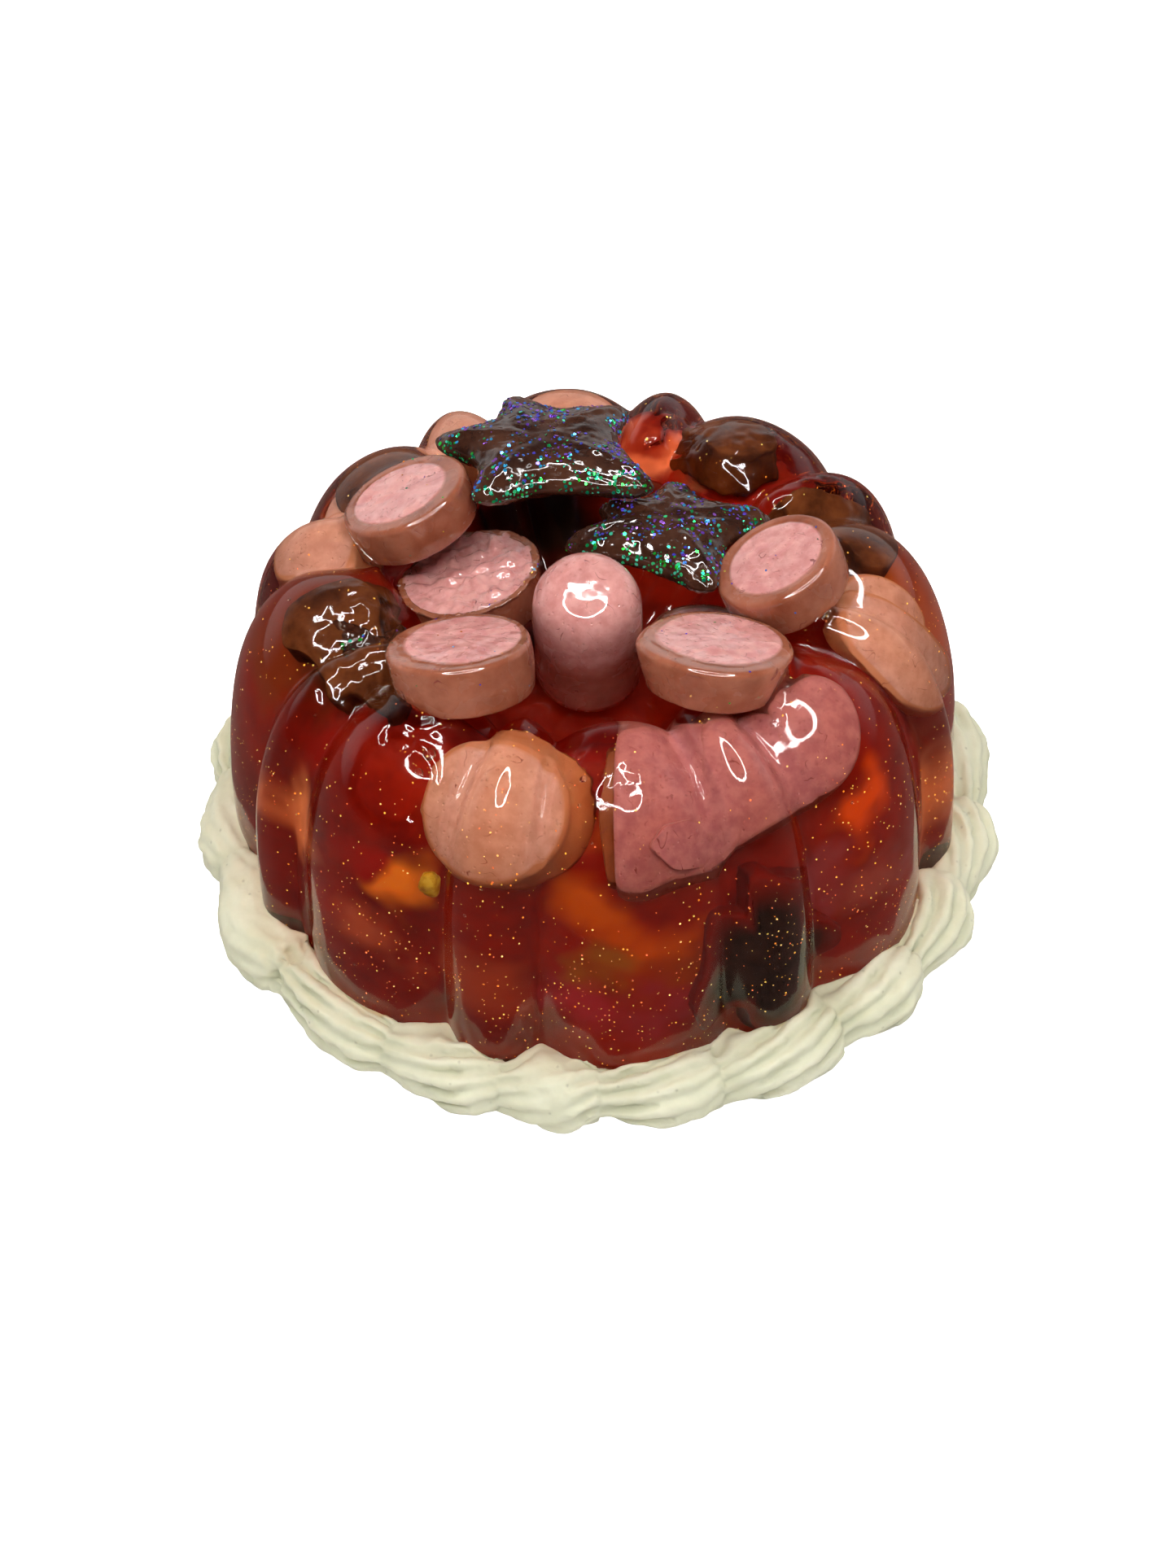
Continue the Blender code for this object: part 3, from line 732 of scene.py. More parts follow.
def slice_rows(radius, thick, foot=1.0, core=0.8, core_shift=(0, 0), lean=(0, 0), corner=None, crumple=0.0,
               seed=0.0):
    """Rings from the middle of the cut face over the casing to that of the foot, with their core values."""
    around = np.arange(SLICE_COLUMNS) * math.tau / SLICE_COLUMNS
    circle = np.stack([np.cos(around), np.sin(around)], -1)
    level_circle = np.c_[circle, 0 * around]
    wobble = 1 + 0.018 * lumps(level_circle, 0.9, seed) + 0.008 * lumps(level_circle, 0.3, seed + 4)
    if corner:
        swing = (np.degrees(around) - corner[0] + 180) % 360 - 180
        wobble = wobble + corner[1] * np.exp(-(swing / 24) ** 2)
    edge = min(0.8, thick / 4)
    cut = core * radius
    bends = np.linspace(0.2, math.pi / 2, 6)
    # Each ring: radius, height, core value, and level: 1 on the cut face, 0 at its edge, -1 at the foot.
    profile = [(share * core * radius, 0.0, 1.0, 1.0) for share in np.linspace(0.02, 0.97, 16)]
    profile += [(cut, -0.05, 0.5, 1.0), (cut + 0.25, -0.08, 0.0, 0.8), (cut + 0.55, 0.02, 0.0, 0.6)]
    profile += [(r, 0.0, 0.0, 0.4) for r in np.linspace(cut + 0.9, radius - edge, 5)]
    profile += [(radius - edge + edge * math.sin(t), edge * (math.cos(t) - 1), 0.0, 0.0) for t in bends]
    for share in np.linspace(0.08, 0.92, 12):
        bulge = 1 + 0.015 * math.sin(math.pi * share)
        drawn_in = radius * (1 + (foot - 1) * share)
        profile.append((drawn_in * bulge, -edge - (thick - 2 * edge) * share, 0.0, -share))
    profile += [(radius * foot - edge + edge * math.cos(t), -thick + edge - edge * math.sin(t), 0.0, -1.0)
                for t in bends]
    profile += [(share * (radius * foot - edge), -thick, 0.0, -1.0) for share in (0.8, 0.5, 0.02)]
    rows = []
    for r, z, _, level in profile:
        shift = np.array(core_shift) * max(level, 0.0) + np.array(lean) * max(-level, 0.0)
        ring = circle * (r * (1 + (wobble - 1) * min(1, r / radius * 1.2)))[:, None] + shift
        rows.append(np.c_[ring, np.full(SLICE_COLUMNS, z)])
    rows = np.array(rows)
    values = np.repeat(np.array([value for _, _, value, _ in profile])[:, None], SLICE_COLUMNS, 1)
    levels = np.array([level for *_, level in profile])[:, None]
    top, side = levels.clip(0), levels < 0
    rows[..., 2] += top * (0.09 * lumps(rows, 1.6, seed) + 0.05 * lumps(rows, 0.6, seed + 9))
    rows[..., 2] += crumple * top * (np.abs(lumps(rows, 2.6, seed + 2)) * 1.5 - 0.25)
    rows[..., 2] += 0.32 * crumple * top * lumps(rows, 1.1, seed + 13)
    rows[..., :2] *= (1 + side * 0.012 * lumps(rows * [1, 1, 0.5], 2.2, seed + 6))[..., None]
    return rows * MM, values


def set_down(rows, centre, faces):
    """Local rows moved to their place, with +Z turned to look along faces."""
    return rows @ facing(faces).T + mm(*centre)


# %% The six slices
for number, (name, facts) in enumerate(SLICES.items()):
    shape = {label: fact for label, fact in facts.items() if label not in ("centre", "faces")}
    rows, values = slice_rows(seed=10.0 * number + 1, **shape)
    rows = set_down(rows, facts["centre"], facts["faces"])
    ringed_piece("cut_" + name, rows, sausage_finish, "sausage", [name], core=values,
                 glaze=float(facts["crumple"] > 0.15))
print(len(SLICES), "slices dressed")

# %% [markdown]
# ## The domed sausage end
# The end of a sausage has no cut face: its casing is drawn tight into a smooth, flattened dome. It is
# made of rings too, following a squared-off curve, with a slight swirl of wrinkles on the top where
# the glaze lies thickest.

# %% The sausage end
def end_rows(radius, length):
    """Rings from the middle of the dome to the middle of the foot, with their core value."""
    around = np.arange(SLICE_COLUMNS) * math.tau / SLICE_COLUMNS
    circle = np.stack([np.cos(around), np.sin(around), 0 * around], -1)
    wobble = 1 + 0.015 * lumps(circle, 0.9, 31.0)
    start = 0.84 * radius
    rows = []
    for share in np.concatenate([np.linspace(0.02, 0.9, 26), [0.94, 0.97, 0.99, 1.0]]):
        drop = start * (1 - (1 - share ** 3.6) ** (1 / 2.2))
        rows.append(circle * (radius * share * wobble)[:, None] - [0, 0, drop])
    for share in np.linspace(0.05, 0.97, 16):
        bulge = 1 + 0.01 * math.sin(9 * share)
        rows.append(circle * (radius * wobble * bulge)[:, None] - [0, 0, start + (length - start) * share])
    rows += [circle * radius * share - [0, 0, length] for share in (0.9, 0.5, 0.02)]
    rows = np.array(rows)
    top = 1 - ease(np.hypot(rows[..., 0], rows[..., 1]) / radius, 0.45, 0.95)
    top = top * (rows[..., 2] > -radius)
    rows[..., 2] += top * (0.10 * lumps(rows, 3.4, 47.0) + 0.02 * lumps(rows, 1.2, 44.0))
    meat = 1 - ease(-rows[..., 2], 0.9 * radius, 1.7 * radius) * 0.8
    return rows * MM, meat


rows, values = end_rows(SAUSAGE_END["radius"], SAUSAGE_END["length"])
rows = set_down(rows, SAUSAGE_END["tip"], SAUSAGE_END["faces"])
ringed_piece("domed_end", rows, end_finish, "sausage", ["sausage_end"], core=values, glaze=1.0)

# %% [markdown]
# ## Slices under the skin
# More slices lie inside the jelly, a few millimetres down. They aren't solids of the part, because
# nothing can touch them, but they show through the skin, so they are made here, pressed against the
# wall. Where one would break the skin, its points are tucked back under it, as soft meat gives way
# when the mould is filled.

# %% Sunk slices
SUNK = {  # middle on the skin, the way it looks, its outline across and up, and how it lies, in millimetres
    "sunk_slice_front": dict(
        middle=(-13.5, -44.9, 49.9), look=(-0.27, -0.62, 0.73), cover=2.2, thick=4.0, lean=(2.4, 0.6),
        softness=3.2, core=0.93, relief=0.04, calm=1.0,
        corners=((-13.0, -0.5), (-12.6, 5.5), (-8.6, 8.8), (-2.0, 9.4), (4.4, 8.4), (8.4, 4.6), (9.4, -0.5),
                 (7.6, -5.2), (3.0, -9.0), (-2.4, -10.6), (-8.4, -9.4), (-11.8, -5.8))),
    "sunk_sausage_left": dict(
        middle=(10.1, -44.4, 49.9), look=(-0.03, -0.62, 0.78), cover=1.5, thick=6.5, softness=1.7, edge=0.3,
        core=1.2, relief=0.16, calm=0.6,
        corners=((-7.6, 10.6), (-0.9, 12.0), (5.7, 11.8), (9.6, 5.6), (10.3, -4.0), (6.3, -8.9), (0.1, -10.1),
                 (-3.8, -12.1), (-7.6, -12.0), (-7.9, -0.5))),
    "sunk_sausage_middle": dict(
        middle=(23.2, -40.4, 49.7), look=(-0.03, -0.68, 0.73), cover=1.5, thick=6.5, softness=2.2, edge=0.3,
        core=1.2, relief=0.16, calm=0.6,
        corners=((-9.1, 8.2), (-1.0, 9.6), (5.5, 9.1), (9.6, 2.8), (8.2, -2.8), (0.6, -6.3), (-5.4, -10.4),
                 (-8.6, -2.3))),
    "sunk_sausage_right": dict(
        middle=(31.6, -33.0, 50.3), look=(0.30, -0.52, 0.80), cover=1.35, thick=6.0, softness=2.4, edge=0.3,
        core=1.2, relief=0.14, calm=0.6,
        corners=((-4.6, 7.1), (1.8, 9.0), (6.0, 8.2), (8.0, 4.4), (7.3, -0.8), (5.0, -4.8), (1.3, -7.4),
                 (-4.6, -7.8), (-5.6, -2.3))),
    "sunk_sausage_cap": dict(
        middle=(2.0, -46.1, 50.5), look=(-0.06, -0.62, 0.78), cover=2.1, thick=5.0, softness=0.8, core=-1,
        corners=((-1.4, 9.6), (1.6, 10.6), (2.4, 0.1), (2.6, -10.4), (-0.6, -10.2), (-2.1, -0.5))),
    "sunk_flap": dict(
        middle=(12.2, -47.6, 45.3), look=(0.25, -0.76, 0.60), cover=0.8, thick=0.9, softness=0.9, edge=0.3,
        core=1.2,
        corners=((-5.6, 1.2), (-2.7, 3.6), (1.7, 3.2), (5.4, 0.8), (5.5, -2.2), (2.5, -4.4), (-2.6, -3.3))),
    "sunk_slice_right": dict(
        middle=(43.1, -16.7, 49.6), look=(0.40, -0.68, 0.62), cover=1.6, thick=4.0, softness=2.2, core=0.92,
        relief=0.05, calm=0.9,
        corners=((-5.4, 3.8), (-3.4, 8.0), (2.7, 9.6), (7.4, 6.0), (12.4, -0.6), (18.0, -8.8), (18.0, -13.4),
                 (11.0, -13.0), (5.1, -11.4), (0.2, -8.4), (-2.8, -2.6))),
    "sunk_slice_right_back": dict(
        middle=(44.4, -4.6, 49.4), look=(0.50, -0.45, 0.75), cover=2.2, thick=4.0, softness=3.4, core=0.9,
        calm=0.8,
        corners=((-6.0, 5.0), (-3.2, 7.0), (0.4, 5.6), (3.4, 2.0), (5.6, -3.4), (6.0, -8.2), (0.8, -9.0),
                 (-5.0, -2.2))),
    "sunk_slice_left": dict(
        middle=(-41.4, 10.3, 51.5), look=(-0.50, -0.10, 0.86), cover=1.3, thick=4.5, softness=3.2, core=0.9,
        calm=0.7,
        corners=((-9.0, -6.0), (-4.5, -9.4), (-1.3, -10.2), (3.0, -5.0), (7.0, 0.9), (5.0, 5.0), (-1.0, 8.0),
                 (-9.0, 5.0), (-11.0, 0.0))),
    "sunk_slice_left_back": dict(
        middle=(-38.6, 19.0, 50.6), look=(-0.50, 0.10, 0.86), cover=2.0, thick=4.0, core=0.9,
        corners=round_outline(6.5, 6.0)),
    "sunk_slice_back_left": dict(
        middle=(-20.5, 36.2, 52.6), look=(-0.25, 0.25, 0.94), cover=1.3, thick=4.5, core=0.9,
        corners=round_outline(7.4, 7.0)),
    "sunk_slice_back": dict(
        middle=(-1.6, 41.0, 53.0), look=(0.0, 0.28, 0.96), cover=2.2, thick=4.5, core=0.9,
        corners=round_outline(8.6, 7.0)),
}
SKIN_COVER = 0.0006


def sunk_piece(name, finish, slot, least_core=0.0, **facts):
    """A piece pressed against the wall and tucked under the skin."""
    rows, values = pressed_rows(**facts)
    placed, moved = tuck_under(rows, SKIN_COVER)
    ringed_piece(name, placed, finish, slot, core=np.maximum(values, least_core))
    print(name, "has", moved, "points that follow the skin")


for number, (name, facts) in enumerate(SUNK.items()):
    mauve = name.startswith("sunk_sausage") or name == "sunk_flap"
    least_core = 0.85 if mauve and name != "sunk_sausage_cap" else 0.0
    finish = mauve_finish if mauve else peach_finish
    sunk_piece(name, finish, "sausage", least_core, seed=70.0 + number, **facts)

# %% [markdown]
# ## Stars
# The stars were pressed from a dark sweet mass: five blunt points, puffy, with soft folds running out
# along the points. A coarse cage and Blender's own subdivision give the puffy form, and the folds are
# pushed into the fine mesh afterwards.

# %% Star material
star_finish, tree, shader, here = new_finish(
    "dark_star", Coat_Roughness=0.07, IOR=1.5, Specular_IOR_Level=0.12)
film = use_group(tree, wet_film, {"Place": here, "Scale": 150.0, "Cover": 0.6, "Dry": 0.42, "Wet": 0.16})
grain = use_group(tree, pits, {"Place": here, "Scale": 1300.0, "Size": 0.5, "Share": 0.45})
fill(shader, {"Base Color": mottled(tree, here, 190.0, (42, 20, 13), (78, 46, 32), 0.2),
              "Roughness": film["Roughness"], "Coat Weight": ramp(tree, film["Coat"], 0.0, 1.0, 0.25, 0.9)})
height = sums(tree, "ADD", sums(tree, "MULTIPLY", film["Height"], 0.6), grain["Height"])
roughen(tree, shader, height, 0.4, 0.0002)

# %% Materials of the stars under the skin
sunk_star_finish, tree, shader, here = new_finish("sunk_star", Roughness=0.7, Specular_IOR_Level=0.1)
dark = mottled(tree, here, 170.0, (12, 4, 1), (42, 20, 9), 0.25)
fill(shader, {"Base Color": mix_colours(tree, kept(tree, "core"), srgb(118, 16, 4), dark)})
brown_star_finish, tree, shader, here = new_finish("sunk_brown_star", Roughness=0.7, Specular_IOR_Level=0.1)
fill(shader, {"Base Color": mottled(tree, here, 120.0, (54, 24, 9), (124, 70, 36), 0.25)})
print("finishes:", star_finish.name, sunk_star_finish.name, brown_star_finish.name)

# %% How a star is built
STAR_WAIST, STAR_TIP_WIDTH, STAR_CROWN, CAGE_SWELL = 0.52, 3.4, 0.60, 1.13


def star_ring(points, height, share, droop):
    """The star's outline at one height: two points on each blunt tip and one in each waist."""
    ring = []
    limit = max(reach for _, reach in points)
    for i, (angle, reach) in enumerate(points):
        after_angle, after_reach = points[(i + 1) % len(points)]
        turn = math.radians(angle)
        along = np.array([math.cos(turn), math.sin(turn), 0])
        across = np.array([-along[1], along[0], 0]) * STAR_TIP_WIDTH / 2
        drop = np.array([0, 0, height - droop * (reach / limit) ** 2])
        ring += [along * reach * share + across + drop, along * reach * share - across + drop]
        middle = math.radians(angle - ((angle - after_angle) % 360) / 2)
        waist = STAR_WAIST * (reach + after_reach) / 2 * share
        ring.append(np.array([waist * math.cos(middle), waist * math.sin(middle), height]))
    return ring


def star_mesh(half, droop, points, levels=4):
    """The cage of a star, rounded by subdivision. Returns points and faces in millimetres."""
    tall = half * CAGE_SWELL
    points = sorted(((a, r * CAGE_SWELL) for a, r in points), key=lambda p: -(p[0] % 360))
    bm = bmesh.new()
    rings = [[bm.verts.new(p) for p in star_ring(points, z, share, droop)]
             for z, share in ((-tall, STAR_CROWN), (0, 1.0), (tall, STAR_CROWN))]
    count = len(rings[0])
    for low, high in zip(rings, rings[1:]):
        for i in range(count):
            bm.faces.new((low[i], low[(i + 1) % count], high[(i + 1) % count], high[i]))
    for ring, z in ((rings[0], -tall), (rings[-1], tall)):
        hub = bm.verts.new((0, 0, z))
        for i in range(count):
            bm.faces.new((ring[i], ring[(i + 1) % count], hub))
    bmesh.ops.recalc_face_normals(bm, faces=bm.faces)
    cage = bpy.data.meshes.new("cage")
    bm.to_mesh(cage)
    bm.free()
    holder = bpy.data.objects.new("cage", cage)
    scene.collection.objects.link(holder)
    rounding = holder.modifiers.new("rounding", "SUBSURF")
    rounding.levels = rounding.render_levels = levels
    made = holder.evaluated_get(bpy.context.evaluated_depsgraph_get()).to_mesh()
    spots = np.array([v.co[:] for v in made.vertices])
    squares = np.array([v.normal[:] for v in made.vertices])
    faces = [list(face.vertices) for face in made.polygons]
    bpy.data.objects.remove(holder, do_unlink=True)
    return spots, squares, faces


def star_folds(spots, squares, points, seed, rough):
    """Soft ridges along the points of the star, dimples between them and small wrinkles, in millimetres."""
    push = 0.12 * lumps(spots, 2.4, seed) + 0.09 * lumps(spots, 0.9, seed + 3)
    push += rough * (np.abs(lumps(spots, 1.9, seed + 6)) - 0.3)
    push += 0.45 * max(rough - 0.5, 0.0) * (np.abs(lumps(spots, 0.8, seed + 12)) - 0.3)
    upper = squares[:, 2].clip(0, 1)
    for angle, reach in points:
        turn = math.radians(angle + 6 * math.sin(seed + angle))
        along = spots[:, 0] * math.cos(turn) + spots[:, 1] * math.sin(turn)
        across = -spots[:, 0] * math.sin(turn) + spots[:, 1] * math.cos(turn)
        ridge = np.exp(-(across / 0.9) ** 2) * ease(along, 0.15 * reach, 0.45 * reach)
        push += 0.34 * (ridge * (1 - ease(along, 0.7 * reach, reach))) * upper
    return spots + squares * push[:, None]


# %% The three stars that stand free
for number, (name, facts) in enumerate(STARS.items()):
    spots, squares, faces = star_mesh(facts["half"], facts["droop"], facts["points"])
    spots = star_folds(spots, squares, facts["points"], 5.0 * number, facts["rough"])
    placed = set_down(spots * MM, facts["centre"], facts["faces"])
    new_piece("pressed_" + name, placed, faces, star_finish, [name])
    print(name, len(faces), "faces")

# %% Stars under the skin
SUNK_STARS = {  # middle on the skin, the way it looks, how deep, and its outline, in millimetres
    "sunk_star_low": ((24.8, -51.0, 24.3), (0.34, -0.92, 0.20), 3.0, (
        (-3.4, 14.1), (1.5, 13.8), (8.0, 8.6), (8.5, -1.0), (13.5, -4.4), (13.9, -8.9), (8.6, -10.1),
        (5.0, -19.0), (0.9, -20.3), (-3.3, -18.3), (-4.7, -12.0), (-10.3, -15.6), (-12.2, -8.0), (-9.4, -2.4),
        (-8.8, 4.5), (-7.4, 8.2), (-3.9, 6.1))),
    "sunk_star_left": ((-36.2, -11.3, 50.8), (-0.30, -0.35, 0.89), 1.5, (
        (-12.9, 0.5), (-10.9, 5.7), (-7.3, 11.2), (-1.4, 10.4), (3.2, 4.8), (13.7, -0.5), (15.4, -6.2),
        (8.9, -5.2), (6.5, -9.5), (3.4, -6.1), (-4.3, -4.2), (-9.1, -5.7))),
    "sunk_star_back_right": ((21.8, 26.9, 53.8), (0.10, 0.20, 0.97), 1.3, (
        (9.4, -5.5), (8.7, -8.6), (3.9, -9.8), (-2.9, -10.4), (-7.6, -6.5), (-5.4, -0.4), (-1.6, 1.6),
        (3.0, 0.2), (5.4, -3.4))),
    "sunk_star_right": ((41.3, 7.6, 52.3), (0.45, 0.05, 0.89), 1.5, (
        (7.8, 11.0), (11.1, 7.0), (9.3, 1.0), (10.7, -7.2), (4.0, -8.5), (-3.1, -6.5), (-8.2, -2.9),
        (-7.6, 1.8), (-2.6, 3.3), (3.5, 6.6))),
    "sunk_star_back_left": ((-32.6, 25.1, 52.9), (-0.40, 0.30, 0.86), 1.3, round_outline(9.0, 8.0)),
}
for number, (name, (middle, look, cover, corners)) in enumerate(SUNK_STARS.items()):
    low = name == "sunk_star_low"
    manner = dict(relief=0.25, core=0.78, fade=0.20) if low else dict(relief=0.6, relief_size=1.4)
    sunk_piece(name, sunk_star_finish if low else brown_star_finish, "star", seed=90.0 + number,
               middle=middle, look=look, corners=corners, cover=cover, thick=5.0, softness=2.0, edge=1.6,
               **manner)

# %% [markdown]
# ## Glitter
# Edible glitter is cut from coloured foil. On the stars it flashes violet and blue from above and
# green from the side, in loose clusters: each flake's colour is chosen by the way its face turns, a
# painted reflection. In the jelly it is gold. Every grain is a real six-sided flake a few tenths of a
# millimetre across, joined with its neighbours into one piece, so that it also shows in the model's
# mesh. Each flake carries its own colour, which the foil materials read. Every flake also glows with a
# painted glint that stands for the flashes of light; the gold lies behind dark jelly, so its painted
# glint is stronger than the rest.

# %% Foil materials
def foil_material(name, glow, metallic, roughness):
    """Foil in the colour of each flake, with a painted glint: an emission that stands for the flashes of a
    moving light.
    """
    finish, tree, shader, here = new_finish(
        name, Metallic=metallic, Roughness=roughness, Emission_Strength=glow)
    foil = kept(tree, "foil", "Color")
    fill(shader, {"Base Color": foil, "Emission Color": foil})
    return finish


# Both foils glow with a painted glint; the gold's is stronger, as it lies behind dark jelly.
painted_glint_foil_finish = foil_material("glitter_foil_painted_glint", 0.24, 0.75, 0.22)
painted_glint_gold_finish = foil_material("gold_foil_painted_glint", 1.3, 0.6, 0.3)
print("finishes:", painted_glint_foil_finish.name, painted_glint_gold_finish.name)

# %% Helpers that scatter flakes
LIFT = 0.00006


def flake(at, square, size, draw):
    """Six corners of one flake, tilted a little out of the surface."""
    square = unit(np.array(square) + [draw.gauss(0, 0.22) for _ in range(3)])
    side = unit(np.cross(square, (0.31, 0.52, 0.79)))
    other = np.cross(square, side)
    spin = draw.uniform(0, math.tau)
    turns = [spin + math.tau * i / 6 for i in range(6)]
    return [at + size * (side * math.cos(t) + other * math.sin(t)) for t in turns]


def spots_on(piece, count, draw, wanted):
    """Random places on a mesh, spread by area, where wanted(place, square) says yes."""
    mesh = piece.data
    areas = np.array([face.area for face in mesh.polygons])
    chances = np.cumsum(areas) / areas.sum()
    found, tries = [], 0
    while len(found) < count and tries < 60 * count:
        tries += 1
        face = mesh.polygons[int(np.searchsorted(chances, draw.random()))]
        at, square = np.array(face.center), np.array(face.normal)
        if wanted(at, square, draw):
            found.append((at, square))
    return found


def flake_piece(name, flakes, finish):
    """Joins flakes (corners, colour) into one piece."""
    points = np.array([corner for corners, _ in flakes for corner in corners])
    faces = [list(range(6 * i, 6 * i + 6)) for i in range(len(flakes))]
    piece = new_piece(name, points, faces, finish, smooth=False)
    tints = np.repeat(np.array([(*tint[:3], 1.0) for _, tint in flakes]), 6, axis=0)
    piece.data.attributes.new("foil", "FLOAT_COLOR", "POINT").data.foreach_set("color", tints.ravel())
    print(name, len(flakes), "flakes")


VIOLETS = [srgb(120, 70, 200), srgb(90, 80, 220), srgb(70, 130, 230), srgb(150, 90, 190), srgb(60, 170, 220)]
GREENS = [srgb(20, 160, 90), srgb(60, 220, 140), srgb(10, 130, 100), srgb(90, 235, 190), srgb(40, 190, 60)]
GOLDS = [srgb(250, 190, 70), srgb(240, 140, 40), srgb(255, 220, 130), srgb(240, 120, 70), srgb(230, 200, 90)]


def cluster(at, size=0.0035):
    """Noise that gathers flakes in clusters of about that size."""
    return noise.noise((at / size + 17.0).tolist())


def glitter_here(at, square, draw):
    """Clusters of grains, thicker where a face looks to the front."""
    front = -square[1] > 0.45
    return square[2] > -0.25 and cluster(at) + (0.22 if front else 0.10) > draw.uniform(-0.1, 0.45)


def stray_here(at, square, draw):
    """Anywhere on the upper part of a slice but its underside."""
    return square[2] > -0.2 and at[2] > 0.050


def painted_reflection_tint(square, draw):
    """Green where a star's face looks towards the front, violet and blue on its top: a painted reflection of
    foil that changes colour with the angle of light.
    """
    to_front = -0.75 * square[1] + 0.1 * square[2]
    return draw.choice(GREENS if draw.random() < ease(to_front, 0.1, 0.5) * 0.9 + 0.12 else VIOLETS)


# %% Glitter on the stars and a few stray grains on the slices
draw = random.Random(11)
grains = []
for name, count in (("star_back", 760), ("star_front", 600), ("star_left", 45)):
    for at, square in spots_on(bpy.data.objects["pressed_" + name], count, draw, glitter_here):
        size = draw.choice((0.12, 0.16, 0.2, 0.26, 0.32)) * MM
        grains.append((flake(at + square * LIFT, square, size, draw), painted_reflection_tint(square, draw)))
flake_piece("star_glitter", grains, painted_glint_foil_finish)

grains = []
for name in ("left_back", "left_front", "right_front", "right_back", "left_low"):
    for at, square in spots_on(bpy.data.objects["cut_slice_" + name], 14, draw, stray_here):
        size = draw.uniform(0.10, 0.2) * MM
        grains.append((flake(at + square * LIFT, square, size, draw), draw.choice(VIOLETS + GREENS + GOLDS)))
flake_piece("stray_glitter", grains, painted_glint_foil_finish)

# %% Gold glitter in the jelly
GOLD_FLAKES = 5200
grains = []
while len(grains) < GOLD_FLAKES:
    row, column = draw.randrange(1, 100), draw.randrange(skin_rows.shape[1])
    at, square = skin_rows[row, column], skin_out[row, column]
    low = 1 - ease(at[2], 0.012, 0.050)
    right = ease(at[0], -0.05, 0.03)
    if draw.random() > 0.12 + 0.5 * low + 0.25 * right * low or cluster(at, 0.011) < draw.uniform(-0.6, 0.2):
        continue
    deep = draw.uniform(0.0003, 0.0032)
    facing_way = unit(square + [draw.gauss(0, 0.5) for _ in range(3)])
    size = draw.choice((0.06, 0.08, 0.10, 0.14)) * MM
    grains.append((flake(at - square * deep, facing_way, size, draw), draw.choice(GOLDS)))
flake_piece("gold_glitter", grains, painted_glint_gold_finish)

# %% [markdown]
# ## The piped border
# The cream was piped with a star nozzle in short overlapping shells. Each shell swells from a thin
# tail, and the nozzle's teeth leave ridges that run together at the necks. The border is one closed
# rope of sections. The finer sections here follow the same shells as the solid and add rounded
# ridges that twist a little, rough patches, a torn end and a few air holes.

# %% Cream material
cream_finish, tree, shader, here = new_finish(
    "piped_cream", IOR=1.4, Subsurface_Weight=0.15, Subsurface_Radius=(1.0, 0.8, 0.5),
    Subsurface_Scale=0.0012)
pale = mottled(tree, here, 110.0, (218, 217, 186), (234, 232, 206), 0.25)
# Painted shade: the creases and the necks between shells are mixed towards a darker green-grey, where shade
# falls.
crease_shade = kept(tree, "crease_shade")
colour = mix_colours(tree, sums(tree, "MULTIPLY", crease_shade, 0.65), pale, srgb(176, 178, 146))
# Painted shade: the air holes and pores are darkened where shade falls in them.
holes = use_group(tree, pits, {"Place": here, "Scale": 700.0, "Size": 0.28, "Share": 0.16})
colour = mix_colours(tree, sums(tree, "MULTIPLY", holes["Mask"], 0.45), colour, srgb(150, 146, 116))
fill(shader, {"Base Color": colour, "Roughness": ramp(tree, crease_shade, 0.0, 1.0, 0.48, 0.72)})
grain = place(tree, "TexNoise", {"Vector": here, "Scale": 1500.0, "Detail": 3.0}).outputs[0]
roughen(tree, shader, sums(tree, "ADD", holes["Height"], sums(tree, "MULTIPLY", grain, 0.5)), 0.35, 0.0002)

# %% The shells of the border
BEADS = (
    (-95, 1.00), (-77, 1.04), (-54, 0.84), (-32.5, 0.86), (-15, 0.92), (-1, 0.90), (16, 0.95), (35, 0.97),
    (51, 1.00), (67, 1.00), (83, 1.02),
)
BACK_START, BACK_BEADS, BEAD_UNEVENNESS = 105, 8, 0.06
BORDER_RADIUS, BORDER_HEIGHT = 0.0585, 0.0028
BEAD_REACH, BEAD_RISE, NECK_SHARE, BEAD_SKEW = 0.0066, 0.0070, 0.56, 1.6
RIDGE_DEPTH, RIDGES = 0.0018, 4.5
FAN_TOP, FAN_FOOT = math.radians(118), math.radians(-22)
BEAD_STEPS, SECTION_STEPS = 44, 62
TORN_ANGLE = math.radians(-54)
HOLES = (((-13.5, -60.5, 7.5), 0.7), ((-63.0, 2.0, 6.0), 0.6), ((-30.0, -56.0, 8.0), 0.5))


def bead_spans():
    """Start, end and fullness of each shell. Those of the front are as in the picture, the rest even."""
    draw = random.Random(5)
    pitch = (360 + BEADS[0][0] - BACK_START) / BACK_BEADS
    starts = list(BEADS)
    for i in range(BACK_BEADS):
        starts.append((BACK_START + pitch * i, 1 + draw.uniform(-BEAD_UNEVENNESS, BEAD_UNEVENNESS)))
    ends = [start for start, _ in starts[1:]] + [360 + BEADS[0][0]]
    return [(math.radians(a), math.radians(b), full) for (a, full), b in zip(starts, ends)]


def wall_radius(height):
    """How far out the ridges of the jelly's wall lie at each height."""
    slope = np.arcsin((np.clip(height, 0, HEIGHT) / HEIGHT) ** (1 / SHOULDER_ROUNDNESS))
    return CREST_RADIUS + (FOOT_RADIUS - CREST_RADIUS) * np.cos(slope) ** WALL_ROUNDNESS


